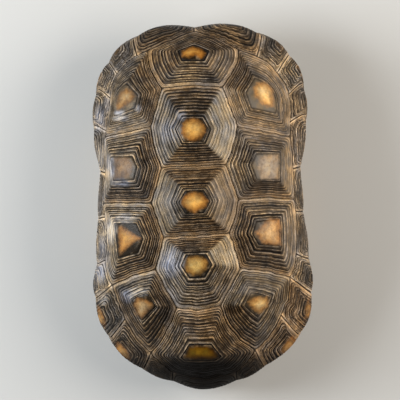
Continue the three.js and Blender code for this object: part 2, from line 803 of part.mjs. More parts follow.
const innerEdge = edgeAt(PLASTRON_KERATIN + PLASTRON_GAP + PLASTRON_BONE);
const outerEdge = edgeAt(PLASTRON_KERATIN + PLASTRON_GAP);
plastronBone.band(innerEdge, outerEdge);
addPiece('plastron_bone', plastronBone, 'bone');

export default shell;
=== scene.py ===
# %% [markdown]
# The empty shell of an adult red-footed tortoise, resting on its plastron.
# Horn plates, called scutes, cover two bones: the domed carapace and the flat plastron.
# A CAD model gives every plate its place. This lesson builds the plates again over the same
# curves, finely enough to carry each growth ring as real relief.

# %% Open the frame
import math

import bpy
import numpy as np
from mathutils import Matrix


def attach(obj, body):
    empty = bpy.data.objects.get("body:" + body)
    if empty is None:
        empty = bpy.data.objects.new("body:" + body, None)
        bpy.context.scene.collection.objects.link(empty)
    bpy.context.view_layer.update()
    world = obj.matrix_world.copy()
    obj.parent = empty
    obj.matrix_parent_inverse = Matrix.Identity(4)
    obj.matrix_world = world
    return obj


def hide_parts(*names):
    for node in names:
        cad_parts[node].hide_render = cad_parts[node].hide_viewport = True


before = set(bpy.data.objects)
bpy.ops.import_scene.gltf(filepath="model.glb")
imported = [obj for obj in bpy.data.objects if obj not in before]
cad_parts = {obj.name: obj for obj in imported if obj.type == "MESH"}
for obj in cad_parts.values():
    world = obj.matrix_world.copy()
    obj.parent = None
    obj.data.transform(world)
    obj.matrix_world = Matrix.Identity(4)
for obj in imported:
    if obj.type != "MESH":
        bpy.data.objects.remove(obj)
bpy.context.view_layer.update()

# %% [markdown]
# A tortoise shell has no straight line, so there is nothing to measure it with but a plan.
# All places in plan come from one sheet: x runs to the animal's right and y to its tail.
# Lengths are millimetres until the very end, when a mesh is written in metres.

# %% The plan sheet
CARAPACE_LENGTH = 320.0
SHEET_LENGTH = 365.3
SHEET_CENTRE = np.array([202.3, 207.0])
UNIT = CARAPACE_LENGTH / SHEET_LENGTH
METRE = 0.001


def plan(places):
    """Millimetres from the shell's middle, for places on the sheet."""
    return (np.asarray(places, float) - SHEET_CENTRE) * (UNIT, -UNIT)


HEART = plan([200, 205])  # the dome is drawn around this point
print("one unit of the sheet is", round(UNIT, 4), "mm")

# %% [markdown]
# The dome is swept round its rim. Each station of the rim says how high the widest line runs
# there, how far the edge drops under it and turns in, and how full the dome is in plan and in
# height. A sphere or a sculpted blob could stand in for it, but a swept dome gives exact
# places and slopes anywhere, which the plates need to follow it.

# %% The rim
SIDES = ("left", "right")
FRONT_STATION = (195, 27.5, 64, 12, 0, 2.25, 1.7)  # x, y, and the profile
REAR_STATION = (204, 388, 39, 14, 1, 2.35, 1.62)
SIDE_PROFILES = [  # level, drop, tuck, spread and flare, from the neck to the tail
    (60, 10, 0, 2.2, 1.35), (54, 6, 0, 2.1, 1.15), (48, 8, 1, 2.05, 1.3), (45, 15, 3.5, 2, 1.7),
    (46, 19, 5, 2, 2), (46, 20, 5, 2, 2), (44, 17, 4, 2, 1.8), (42, 9, 1.5, 2.05, 1.35),
    (41, 5, 0, 2.2, 1.05), (40, 6, 0, 2.3, 1.15), (39, 11, 0.5, 2.35, 1.5),
]
RIM_PLACES = {
    "left": [
        (144, 34), (108, 64), (95, 104), (95, 140), (100, 172), (98, 221),
        (97, 260), (95, 294), (107, 333), (137, 365), (177, 382.5),
    ],
    "right": [
        (250, 31), (291, 58), (305, 98), (304.5, 136), (300.5, 171), (303.5, 213),
        (308, 251), (311.5, 290), (303, 328), (271, 361.5), (234, 381.5),
    ],
}

left_side, right_side = (
    [place + profile for place, profile in zip(RIM_PLACES[side], SIDE_PROFILES)]
    for side in SIDES
)
STATIONS = np.array([FRONT_STATION, *right_side, REAR_STATION, *left_side[::-1]])
STATIONS[:, :2] = plan(STATIONS[:, :2])
RIM_COUNT = len(STATIONS)
TAIL_S = RIM_COUNT // 2
SPREAD = 5  # where a station keeps its spread


def bend(before, start, end, after, t):
    """A smooth line from start to end as t runs from 0 to 1, in step with its neighbours."""
    slope_in, slope_out = (end - before) / 2, (after - start) / 2
    square = 3 * (end - start) - 2 * slope_in - slope_out
    cube = slope_in + slope_out - 2 * (end - start)
    return start + t * (slope_in + t * (square + t * cube))


def rim_at(s):
    """The rim's values at s, counted in stations clockwise from the neck."""
    wrapped = np.mod(s, RIM_COUNT)
    index = np.floor(wrapped).astype(int)
    around = (STATIONS[(index + k) % RIM_COUNT] for k in (-1, 0, 1, 2))
    return bend(*around, (wrapped - index)[..., None])


print(RIM_COUNT, "stations round the rim")

# %% The dome
CROWN_HEIGHT = 130.0
NEAR_CROWN = 0.04  # the dome's slope is not read closer to the crown than this


def dome(s, g):
    """A point of the dome: g is 0 at the crown, 1 on the widest line, 2 on the lower edge."""
    x, y, level, drop, tuck, spread, flare = np.moveaxis(rim_at(s), -1, 0)
    out_x, out_y = x - HEART[0], y - HEART[1]
    turn = np.clip(g, 0, 1) * math.pi / 2
    below = np.maximum(g - 1, 0)
    reach = np.sin(turn) ** (2 / spread) - tuck / np.hypot(out_x, out_y) * below**2
    over = (CROWN_HEIGHT - level) * np.maximum(np.cos(turn), 0) ** (2 / flare)
    height = level + over - drop * below
    return np.stack([HEART[0] + out_x * reach, HEART[1] + out_y * reach, height], -1)


def unit(vectors):
    return vectors / np.linalg.norm(vectors, axis=-1, keepdims=True)


def dome_normal(s, g, step=0.004):
    """The outward direction of the dome."""
    along = dome(s + step, g) - dome(s - step, g)
    down = dome(s, np.minimum(g + step, 2)) - dome(s, np.maximum(g - step, 0))
    return unit(np.cross(along, down))


crown = dome(np.zeros(1), np.zeros(1))
print("the crown is at", np.round(crown[0], 1))

# %% [markdown]
# The plates are drawn in plan and then lifted on to the dome. A table of the rim's bearings
# turns a place in plan into a place on the dome, which no formula gives directly.

# %% From plan to dome
TABLE_STEPS = 200  # to a station
LIFT_ROUNDS = 4


def bearing(points):
    """Clockwise angle of plan points about the heart, from the front station."""
    ahead = STATIONS[0, :2] - HEART
    way = points - HEART
    angle = math.atan2(ahead[1], ahead[0]) - np.arctan2(way[..., 1], way[..., 0])
    return np.mod(angle, math.tau)


TABLE_S = np.linspace(0, RIM_COUNT, RIM_COUNT * TABLE_STEPS + 1)
TABLE_BEARING = np.append(bearing(rim_at(TABLE_S[:-1])[:, :2]), math.tau)
TABLE_BEARING[0] = 0


def locate(points):
    """The s and g of the places on the dome over plan points."""
    s = np.interp(bearing(points), TABLE_BEARING, TABLE_S)
    rim = rim_at(s)
    full = np.linalg.norm(rim[..., :2] - HEART, axis=-1)
    reach = np.minimum(np.linalg.norm(points - HEART, axis=-1) / full, 1)
    return s, 2 / math.pi * np.arcsin(reach ** (rim[..., SPREAD] / 2))


def lift(points, height):
    """Plan points raised to the dome, and then off it along its normal."""
    s, g = locate(points)
    normal = dome_normal(s, np.maximum(g, NEAR_CROWN))
    normal[..., :2] *= np.minimum(g / NEAR_CROWN, 1)[..., None]  # the crown itself is level
    return dome(s, g) + normal * np.asarray(height)[..., None]


def lift_over(points, height):
    """The plan points whose lifted places lie right over the given ones."""
    under = points.copy()
    for _ in range(LIFT_ROUNDS):
        under += points - lift(under, height)[..., :2]
    return under


print("the heart lies", round(lift(HEART[None], [0])[0, 2]), "mm up")

# %% [markdown]
# Seams are where the plates meet. They are shared, so each is drawn once, as a smooth line
# through a few corners with a slight wander, and both of its plates are cut from that line.

# %% Corners and seams
CORNERS = {  # where three plates meet, on the sheet: left side, right side
    "v1_c1_m1": ((148, 51), (238, 50)),
    "v1_v2": ((162, 89), (222, 88)),
    "v2_side": ((151, 127), (237, 127)),
    "v2_v3": ((162, 168), (226, 165)),
    "v3_side": ((152, 203), (238, 199)),
    "v3_v4": ((164, 237), (229, 233)),
    "v4_side": ((156, 269), (240, 268)),
    "v4_v5": ((177, 307), (220, 305)),
    "c1_c2_rim": ((105, 137), (290, 137)),
    "c2_c3_rim": ((103, 203), (294, 199)),
    "m1_m2": ((137, 56), (257, 57)),
    "m2_m3": ((117, 74), (277, 73)),
    "m3_m4": ((110, 98), (289, 94)),
    "m4_m5": ((106, 131), (290, 122)),
    "m5_m6": ((105, 173), (293, 169)),
    "m6_m7": ((105, 217), (296, 211)),
    "m7_m8": ((105, 260), (296, 254)),
    "m8_m9": ((112, 285), (290, 277)),
    "m9_m10": ((125, 319), (281, 315)),
    "m10_m11": ((151, 353), (255, 350)),
    "m11_tail": ((173, 372), (236, 372)),
    "neck": ((194, 31), (194, 31)),
}
SIDE_SEAMS = {  # first corner, points between on the left and on the right, last corner
    "v1_m1": ("neck", [(175, 39)], [(216, 38)], "v1_c1_m1"),
    "c1_m1": ("v1_c1_m1", [], [], "m1_m2"),
    "c1_m2": ("m1_m2", [(127, 63)], [(268, 63)], "m2_m3"),
    "c1_m3": ("m2_m3", [(112, 86)], [(285, 84)], "m3_m4"),
    "c1_m4": ("m3_m4", [(108, 115)], [(291, 108)], "m4_m5"),
    "c1_m5": ("m4_m5", [], [], "c1_c2_rim"),
    "c2_m5": ("c1_c2_rim", [(105, 155)], [(292, 154)], "m5_m6"),
    "c2_m6": ("m5_m6", [(104, 188)], [(294, 184)], "c2_c3_rim"),
    "c3_m6": ("c2_c3_rim", [], [], "m6_m7"),
    "c3_m7": ("m6_m7", [(107, 239)], [(297, 232)], "m7_m8"),
    "c3_m8": ("m7_m8", [(107, 273)], [(294, 267)], "m8_m9"),
    "c4_m9": ("m8_m9", [(118, 302)], [(288, 297)], "m9_m10"),
    "c4_m10": ("m9_m10", [(137, 338)], [(270, 335)], "m10_m11"),
    "v5_m11": ("m10_m11", [(162, 364)], [(247, 362)], "m11_tail"),
    "v1_c1": ("v1_c1_m1", [(149, 64), (154, 77)], [(238, 60), (232, 73)], "v1_v2"),
    "v2_c1": ("v1_v2", [(157, 107)], [(230, 107)], "v2_side"),
    "v2_c2": ("v2_side", [(155, 148)], [(233, 146)], "v2_v3"),
    "v3_c2": ("v2_v3", [(157, 186)], [(232, 182)], "v3_side"),
    "v3_c3": ("v3_side", [(158, 220)], [(235, 216)], "v3_v4"),
    "v4_c3": ("v3_v4", [(160, 253)], [(235, 250)], "v4_side"),
    "v4_c4": ("v4_side", [(166, 288)], [(230, 287)], "v4_v5"),
    "v5_c4": ("v4_v5", [(171, 322), (162, 339)], [(227, 323), (240, 339)], "m10_m11"),
    "c1_c2": ("v2_side", [(128, 132)], [(263, 132)], "c1_c2_rim"),
    "c2_c3": ("v3_side", [(128, 203)], [(266, 198)], "c2_c3_rim"),
    "c3_c4": ("v4_side", [(135, 275)], [(266, 271)], "m8_m9"),
}
CROSS_SEAMS = {  # from the corner on the left, through a point, to the corner on the right
    "v1_v2": ("v1_v2", (192, 86)),
    "v2_v3": ("v2_v3", (194, 166)),
    "v3_v4": ("v3_v4", (197, 235)),
    "v4_v5": ("v4_v5", (199, 309)),
    "v5_tail": ("m11_tail", (204, 378)),
}
print(len(CORNERS), "corners")

# %% Draw the seams
SEAM_WANDER = 0.22  # mm
SEAM_WAVES = (3, 5, 8, 13, 17)  # half waves to a seam

seam_dice = np.random.default_rng(11)


def curve(knots, steps=40):
    """A smooth line through knots, ends included."""
    knots = np.array([knots[0], *knots, knots[-1]])
    t = np.linspace(0, 1, steps, endpoint=False)[:, None]
    parts = [bend(*four, t) for four in zip(knots, knots[1:], knots[2:], knots[3:])]
    return np.concatenate([*parts, knots[-1:]])


def smooth_line(places):
    """A smooth line through places on the sheet, with a slight wander."""
    line = curve(plan(places))
    share = np.linspace(0, 1, len(line))
    across = unit(np.gradient(line, axis=0)[:, ::-1] * (-1, 1))
    wave = sum(np.sin(math.pi * k * share) * seam_dice.normal(0, 1) for k in SEAM_WAVES)
    return line + across * (SEAM_WANDER * wave * np.sin(math.pi * share) ** 0.5)[:, None]


seams = {}
for name, (first, left_between, right_between, last) in SIDE_SEAMS.items():
    for i, between in enumerate((left_between, right_between)):
        places = [CORNERS[first][i], *between, CORNERS[last][i]]
        seams[f"{name}_{SIDES[i]}"] = smooth_line(places)
for name, (corner, middle) in CROSS_SEAMS.items():
    seams[name] = smooth_line([CORNERS[corner][0], middle, CORNERS[corner][1]])
print(len(seams), "seams")

# %% [markdown]
# A mesh here is an array of points, arrays of faces, and a few numbers kept on each point.
# Those numbers, called attributes, tell the material where a groove, a crest or a stain lies.
# Painting a picture for that would need an image and would blur close up.

# %% Write a mesh
def build_piece(name, node, points, faces, marks, finish):
    """One closed piece in metres that stands for a CAD node."""
    mesh = bpy.data.meshes.new(name)
    mesh.vertices.add(len(points))
    mesh.vertices.foreach_set("co", (points * METRE).astype(np.float32).ravel())
    sizes = np.concatenate([np.full(len(group), group.shape[1]) for group in faces])
    corners = np.concatenate([group.ravel() for group in faces]).astype(np.int32)
    mesh.loops.add(len(corners))
    mesh.loops.foreach_set("vertex_index", corners)
    mesh.polygons.add(len(sizes))
    mesh.polygons.foreach_set("loop_start", (np.cumsum(sizes) - sizes).astype(np.int32))
    mesh.update(calc_edges=True)
    mesh.validate()
    for label, values in marks.items():
        kind, field = ("FLOAT_VECTOR", "vector") if values.ndim == 2 else ("FLOAT", "value")
        mark = mesh.attributes.new(label, kind, "POINT")
        mark.data.foreach_set(field, values.astype(np.float32).ravel())
    mesh.shade_smooth()
    mesh.materials.append(finish.material)
    piece = bpy.data.objects.new(name, mesh)
    bpy.context.scene.collection.objects.link(piece)
    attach(piece, "root")
    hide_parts(node)
    return piece


def count_triangles(label, pieces):
    meshes = [piece.data for piece in pieces]
    triangles = sum(len(mesh.loops) - 2 * len(mesh.polygons) for mesh in meshes)
    print(triangles, "triangles in", len(pieces), label)


print("one millimetre is written as", METRE)

# %% [markdown]
# Every plate and bone is a skin stretched over a row of loops, like a sock over hoops. Most
# close on a single point at each end, one in the middle of each face. Because they share
# this one way of building, none can have a hole or a face turned inside out.

# %% Close a skin
def skin(rows, size, poles=0):
    """Faces over rows of loops, closed at both ends: by flat caps, or by two end points.

    With poles=1 the first and the last point of all are those end points.
    """
    number = np.arange(rows * size).reshape(rows, size) + poles
    following = np.roll(number, -1, 1)
    quads = np.stack([number[:-1], number[1:], following[1:], following[:-1]], -1)
    first, last = number[:1], number[-1:, ::-1]
    if poles:
        quads = np.roll(quads, -1, -1)  # they then split along the other diagonal
        first = np.stack([number[0], following[0], np.zeros(size, int)], 1)
        last = np.stack([following[-1], number[-1], np.full(size, rows * size + 1)], 1)
    return [quads.reshape(-1, 4), first, last]


def closed_skin(first, loops, last):
    """The points and outward faces of a skin over loops, from one end point to the other."""
    x, y = loops[..., 0], loops[..., 1]
    turning = np.sum(x * np.roll(y, -1, -1) - np.roll(x, -1, -1) * y)
    faces = skin(*loops.shape[:2], poles=1)
    if turning * (first[0, 2] - last[0, 2]) < 0:
        faces = [group[:, ::-1] for group in faces]
    return np.concatenate([first, loops.reshape(-1, 3), last]), faces


def over_skin(values, hidden, rest=0.0):
    """A mark for all points of a closed skin, from its rows of values on the visible face."""
    flat = values.reshape(-1, *values.shape[2:])
    unseen = np.full((hidden, *flat.shape[1:]), rest)
    return np.concatenate([values[0].mean(0)[None], flat, unseen])


print("a skin over 3 loops of 8 points has", sum(map(len, skin(3, 8, 1))), "faces")

# %% [markdown]
# Shader maths reads best as arithmetic. One small class stands for a socket, so that an
# expression such as 1 - groove adds the nodes that it needs.

# %% Shader arithmetic
class Wire:
    """An output socket that can be used in sums."""

    def __init__(self, finish, socket):
        self.finish = finish
        self.socket = socket

    def _sum(self, operation, first, second):
        inputs = {0: first, 1: second}
        return self.finish.node("ShaderNodeMath", {"operation": operation}, inputs)

    def __add__(self, other):
        return self._sum("ADD", self, other)

    def __radd__(self, other):
        return self._sum("ADD", other, self)

    def __sub__(self, other):
        return self._sum("SUBTRACT", self, other)

    def __rsub__(self, other):
        return self._sum("SUBTRACT", other, self)

    def __mul__(self, other):
        return self._sum("MULTIPLY", self, other)

    def __rmul__(self, other):
        return self._sum("MULTIPLY", other, self)


print("wires can be added, subtracted and multiplied")

# %% [markdown]
# A finish is one material. Its node method makes any node, and the other methods name the
# few that horn and bone need: a mark of the mesh, grain, a smooth step and a mix of colours.

# %% A finish
COLOUR, FACTOR = 0, 2  # outputs of an attribute


class Finish:
    """A material of the shell, built node by node."""

    def __init__(self, name, **constants):
        self.material = bpy.data.materials.new(name)
        self.material.use_nodes = True
        self.tree = self.material.node_tree
        self.surface = self.tree.nodes["Principled BSDF"]
        self.show(**constants)

    def feed(self, socket, value):
        if isinstance(value, Wire):
            self.tree.links.new(value.socket, socket)
        else:
            socket.default_value = value

    def node(self, kind, settings=None, inputs=None, output=0):
        """Any node: its type, its settings, and then what its sockets get."""
        made = self.tree.nodes.new(kind)
        for label, value in (settings or {}).items():
            setattr(made, label, value)
        for label, value in (inputs or {}).items():
            self.feed(made.inputs[label], value)
        return Wire(self, made.outputs[output])

    def marks(self, labels, output=FACTOR):
        """Numbers or colours that the mesh keeps on each point."""
        settings = [{"attribute_name": name} for name in labels.split()]
        return [self.node("ShaderNodeAttribute", each, output=output) for each in settings]

    def grain(self, scale, detail=3.0, roughness=0.55, w=None):
        """Noise with that many steps to the metre, and w as a fourth direction."""
        here = self.node("ShaderNodeTexCoord", output="Object")
        inputs = {"Vector": here, "Scale": scale}
        place = self.node("ShaderNodeVectorMath", {"operation": "SCALE"}, inputs)
        inputs = {"Vector": place, "Scale": 1.0, "Detail": detail, "Roughness": roughness}
        if w is not None:
            inputs["W"] = w
        settings = {"noise_dimensions": "3D" if w is None else "4D"}
        return self.node("ShaderNodeTexNoise", settings, inputs)

    def between(self, value, low, high, start=0.0, end=1.0):
        """Runs smoothly from start to end as value runs from low to high."""
        inputs = {"Value": value, "From Min": low, "From Max": high}
        inputs |= {"To Min": start, "To Max": end}
        return self.node("ShaderNodeMapRange", {"interpolation_type": "SMOOTHSTEP"}, inputs)

    def blend(self, factor, under, over, way="MIX"):
        """Mixes two colours."""
        settings = {"data_type": "RGBA", "blend_type": way}
        return self.node("ShaderNodeMix", settings, {0: factor, 6: under, 7: over}, output=2)

    def times(self, first, second):
        """One colour tinted by another."""
        return self.blend(1.0, first, second, "MULTIPLY")

    def bump(self, height, distance):
        inputs = {"Height": height, "Distance": distance, "Strength": 1.0}
        return self.node("ShaderNodeBump", inputs=inputs)

    def show(self, **inputs):
        for label, value in inputs.items():
            self.feed(self.surface.inputs[label.replace("_", " ")], value)


print("a finish has", sum(callable(value) for value in vars(Finish).values()), "methods")

# %% [markdown]
# Keratin horn grows at the seams, one ring a season, so a plate is a stack of ridges: dark
# horn with paler, worn crests, nearly black in the grooves, fresh and tan beside the seams.
# The areola in the middle is the hatchling's own plate, rubbed smooth and stained amber.
# Every colour below follows a mark of the mesh, and noise that is stretched along the rings
# gives the fine lines between them.

# %% Grain of the back horn
back_horn = Finish("back horn", IOR=1.5, Specular_IOR_Level=0.12)
ring, groove, crest, tone, seam = back_horn.marks("ring groove crest tone seam")
stain, calm, core, dusk, silver = back_horn.marks("stain calm core dusk silver")
stain_colour, weathering = back_horn.marks("stain_colour weathering", COLOUR)

strands = back_horn.grain(45.0, 3.0, 0.6, w=ring * 3.1)  # these three follow the rings
threads = back_horn.grain(110.0, 2.0, 0.6, w=ring * 8.0)
fleck_and_sheen_grain = back_horn.grain(95.0, 4.0, 0.62, w=ring * 0.7)
weather = back_horn.grain(75.0)  # and these four don't
grit = back_horn.grain(800.0, 4.0, 0.7)
patina = back_horn.grain(26.0, 2.0)
mottle = back_horn.grain(210.0, 4.0, 0.65)
print("back horn has 7 kinds of grain and", len(back_horn.tree.nodes), "nodes so far")

# %% Colour of the back horn
BLACK_HORN = (0.003, 0.002, 0.0015, 1)
DARK_HORN = (0.012, 0.008, 0.004, 1)
BROWN_HORN = (0.068, 0.042, 0.02, 1)
GREY_HORN = (0.20, 0.165, 0.12, 1)
TAN_HORN = (0.68, 0.53, 0.36, 1)
SEAM_HORN = (0.48, 0.355, 0.225, 1)
# painted sheen: the colour of the lamps' highlights on the horn
PAINTED_SHEEN_HORN = (0.42, 0.42, 0.44, 1)

blend, between, times = back_horn.blend, back_horn.between, back_horn.times
worn = between(weather, 0.32, 0.6, 0.3, 1.0) * between(mottle, 0.34, 0.56, 0.3, 1.0)
pits = between(grit, 0.25, 0.6, 0.6, 1.0)

# Brown strands in dark horn with thin tan threads, greyer and plainer where the areola is
# rubbed smooth, and on sides that face a lamp, where it is painted light.
horn = blend(between(strands, 0.40, 0.62) * tone, DARK_HORN, BROWN_HORN)
horn = blend(calm * between(weather, 0.2, 0.7, 0.5, 1.0), horn, GREY_HORN)
thin = between(threads, 0.52, 0.68) * worn * (1 - calm) * (0.25 + tone * 0.6)
# each side's tint of painted light and shade
horn = times(blend(thin, horn, TAN_HORN), weathering)

# Painted sheen from the lamps, fresh horn beside the seams, pale crests, last the black grooves.
glints = between(fleck_and_sheen_grain + (strands - 0.5) * 0.6, 0.34, 0.6, 0.1, 1.0)
horn = blend(silver * glints, horn, PAINTED_SHEEN_HORN)
fresh = seam * between(strands, 0.35, 0.6, 0.3, 1.0) * pits
fresh = fresh * between(threads, 0.36, 0.56, 0.45, 1.0)
horn = blend(fresh, horn, blend(0.6, SEAM_HORN, times(weathering, SEAM_HORN)))
pale = crest * (1 - calm * 0.6) * worn * pits
horn = blend(pale, horn, blend(0.55, TAN_HORN, times(weathering, TAN_HORN)))
horn = blend(groove * (1 - calm * 0.93), horn, BLACK_HORN)
print("back horn has", len(back_horn.tree.nodes), "nodes so far")

# %% Stains and patina of the back horn
STAIN_EDGE = (0.53, 0.42, 0.34, 1)
STAIN_HEART = (1.3, 1.38, 1.5, 1)
STAIN_SPOT = (0.62, 0.58, 0.55, 1)
COOL_PATINA, WARM_PATINA = (0.72, 0.78, 0.95, 1), (1.3, 1.15, 0.9, 1)
COOL_FLECK, WARM_FLECK = (0.78, 0.86, 1.08, 1), (1.2, 1.1, 0.94, 1)
PATINA_SHARE, FLECK_SHARE = 0.7, 0.75
GRAIN_RELIEF = 0.0007  # metres

depth = blend(core, STAIN_EDGE, STAIN_HEART)
depth = blend(between(mottle, 0.32, 0.62), times(depth, STAIN_SPOT), depth)
ragged = between(stain + (mottle - 0.5) * 0.8 + (grit - 0.5) * 0.3, 0.1, 0.9)
horn = blend(ragged, horn, times(stain_colour, depth))
tint = blend(between(patina, 0.3, 0.7), COOL_PATINA, WARM_PATINA)
horn = blend(PATINA_SHARE, horn, times(horn, tint))
flecks = blend(between(fleck_and_sheen_grain, 0.38, 0.62), COOL_FLECK, WARM_FLECK)
horn = blend(FLECK_SHARE, horn, times(horn, flecks))
# painted shade over the tail
horn = blend(dusk, horn, BLACK_HORN)
rough = 0.31 + groove * 0.3 + grit * 0.12 + dusk * 0.3
relief = back_horn.bump(strands * 0.5 + threads * 0.3 + grit * 0.2, GRAIN_RELIEF)
back_horn.show(Base_Color=horn, Roughness=rough, Normal=relief)
print("back horn has", len(back_horn.tree.nodes), "nodes")

# %% [markdown]
# Each ring of a plate is a narrow groove, a crest beside it and a fainter line behind. The
# height is worked out in millimetres as a function of how far out a point lies, counted in
# rings, so the mesh can put its own lines exactly where the grooves and crests run.

# %% Growth rings
RING_STEPS = np.array([0.0, 0.09, 0.18, 0.27, 0.36, 0.45, 0.54, 0.64, 0.73, 0.81, 0.9])
EDGE_STEPS = [0.983, 0.992, 1.0]  # the last lines before the seam
GROOVE_AT, CREST_AT, LINE_AT, SHINE_AT = (0.2, 0.2), (0.54, 0.14), (0.8, 0.09), (0.95, 0.07)


def hump(x, middle, width):
    return np.exp(-(((x - middle) / width) ** 2))


def ease(x):
    x = np.clip(x, 0, 1)
    return x * x * (3 - 2 * x)


class Rings:
    """The growth rings of one plate, from the areola's edge at 0 to the seam at 1."""

    def __init__(self, dice, count, taper=0.75):
        widths = dice.uniform(0.5, 1.6, count) * np.linspace(1.15, taper, count)
        self.starts = np.concatenate([[0], np.cumsum(widths)]) / widths.sum()
        self.count = count
        self.deep = dice.uniform(0.15, 0.9, count) * np.linspace(1.05, 0.75, count)
        self.high = 0.02 + 0.33 * dice.uniform(0, 1, count) ** 1.5
        self.faint = dice.uniform(0.05, 0.35, count)
        tones = dice.normal(0.5, 0.28, count) + np.linspace(-0.4, 0.35, count)
        self.tones = np.clip(tones, 0.0, 1)

    def levels(self):
        """Where a mesh needs its lines."""
        starts, ends = self.starts[:-1, None], self.starts[1:, None]
        return np.append((starts + (ends - starts) * RING_STEPS).ravel(), EDGE_STEPS)

    def look_up(self, t, strength):
        """Height in mm, and the marks, at any way out; lines fade as strength does."""
        index = np.clip(np.searchsorted(self.starts, t, side="right") - 1, 0, self.count - 1)
        f = (t - self.starts[index]) / (self.starts[index + 1] - self.starts[index])
        inside = (t >= 0) & (t <= 1)
        deep, high, faint = (kind[index] * strength for kind in (self.deep, self.high, self.faint))
        groove, crest, line, shine = (
            hump(f, *at) for at in (GROOVE_AT, CREST_AT, LINE_AT, SHINE_AT)
        )
        height = high * crest - deep * groove - faint * line
        pale = crest * (0.5 + high * 3.0) * strength + shine * faint * 2
        marks = {
            "ring": index + f,
            "groove": np.clip(groove * deep * 2.3 + line * faint * 2.4, 0, 1),
            "crest": np.clip(pale, 0, 1),
            "tone": self.tones[index],
        }
        return height * inside, {key: value * inside for key, value in marks.items()}


def wander(dice, around, outwards, waves=8):
    """A smooth wave along the rings, which changes slowly from ring to ring."""
    total = 0
    for _ in range(waves):
        cycles = dice.integers(3, 26)
        phase, drift = dice.uniform(0, math.tau), dice.normal(0, 4)
        wave = np.sin(math.tau * cycles * around + phase + drift * outwards)
        total = total + wave / cycles**0.4
    return total / waves**0.5


def uneven(dice, around, outwards):
    """How strongly the rings show, which varies over a plate."""
    return np.clip(0.8 + 0.55 * wander(dice, around, outwards * 3), 0.1, 1.4)


print("a ring has", len(RING_STEPS), "lines of mesh")

# %% [markdown]
# No two plates of the back look alike. Each side of a plate has its own tint of painted light
# and shade, by how it faces the lamps, and each areola its own stain, a ragged patch that is
# drawn on the sheet.

# %% Stains, painted side light, painted sheen and painted shade
STAINS = {
    "amber": (0.45, 0.25, 0.065),
    "honey": (0.50, 0.27, 0.06),
    "olive": (0.38, 0.255, 0.085),
    "gold": (0.68, 0.455, 0.19),
    "straw": (0.60, 0.42, 0.18),
    "clay": (0.33, 0.215, 0.095),
    "rust": (0.60, 0.36, 0.145),
    "ember": (0.37, 0.21, 0.065),
    "sand": (0.47, 0.34, 0.19),
    "mushroom": (0.17, 0.115, 0.07),
    "bronze": (0.20, 0.115, 0.008),
    "orange": (0.34, 0.175, 0.05),
}
PAINTED_SIDE_LIGHT_TINTS = {  # painted light and shade of each side of a plate, by how it faces the lamps: it multiplies the horn's colour
    "plain": (1, 1, 1),
    "brown": (0.66, 0.54, 0.40),
    "umber": (0.88, 0.73, 0.53),
    "dark": (0.46, 0.36, 0.25),
    # painted sheen on sides that face the cool lamp on the left
    "silver": (0.95, 1.02, 1.14),
    "pale": (1.5, 1.42, 1.32),
    "bleached": (2.1, 2.2, 2.25),
    "slate": (0.46, 0.49, 0.56),
    "tawny": (1.15, 1.0, 0.8),
    "ashen": (1.25, 1.3, 1.35),
    "sunny": (1.6, 1.35, 1.05),
}
PAINTED_SHEEN_PATCHES = [  # painted sheen, highlights of the lamps: x, y, half width, half height, share
    (170, 131, 13, 14, 0.5), (181, 116, 6, 7, 0.5), (170, 200, 12, 14, 0.15),
    (172, 262, 13, 15, 1.0), (120, 113.5, 6, 3, 1.0), (121, 119, 9, 3.5, 0.9),
    (139, 109, 4, 4, 0.7), (108, 104, 4, 14, 0.5), (100, 118, 6, 14, 0.7),
    (111, 168, 5, 14, 1.0), (121, 183, 12, 5, 0.6), (111, 230, 7, 15, 1.0),
    (126, 218, 12, 6, 0.8), (138, 291, 12, 5, 0.8), (128, 295, 8, 8, 0.6),
    (101, 271, 7, 14, 0.9), (103, 298, 6, 8, 0.7), (103, 245, 5, 16, 0.4),
    (100, 160, 5, 16, 0.5), (247, 289, 9, 7, 0.3), (218, 196, 9, 10, 0.25),
]
CORNER_GLOW = 0.95
CORNER_REACH = 4.0  # mm
# painted shade on the slope over the tail, which gets the least light
PAINTED_SHADE = 0.985
PAINTED_SHADE_START, PAINTED_SHADE_FADE = 122, 16  # mm behind the middle, and over how far it deepens


def painted_sheen_at(points):
    """How much painted sheen the horn has at places of the shell."""
    silver = np.zeros(len(points))
    for x, y, half_width, half_height, share in PAINTED_SHEEN_PATCHES:
        away = (points[:, :2] - plan([x, y])) / UNIT / (half_width, half_height)
        silver = np.maximum(silver, share * ease(1.25 - np.linalg.norm(away, axis=1)))
    return silver


def corner_at(points):
    """The horn is palest where three plates meet."""
    corners = plan([place for pair in CORNERS.values() for place in pair])
    away = np.linalg.norm(points[:, None, :2] - corners, axis=-1).min(1)
    return CORNER_GLOW * ease(1.5 - away / CORNER_REACH)


def painted_shade_at(points):
    """Painted shade on the slope over the tail, deepest in the middle."""
    aside = ease((np.abs(points[:, 0]) - 25) / 20)
    return PAINTED_SHADE * ease((-points[:, 1] - PAINTED_SHADE_START) / PAINTED_SHADE_FADE) * (1 - 0.2 * aside)


print(len(STAINS), "stains,", len(PAINTED_SIDE_LIGHT_TINTS), "kinds of weathering")
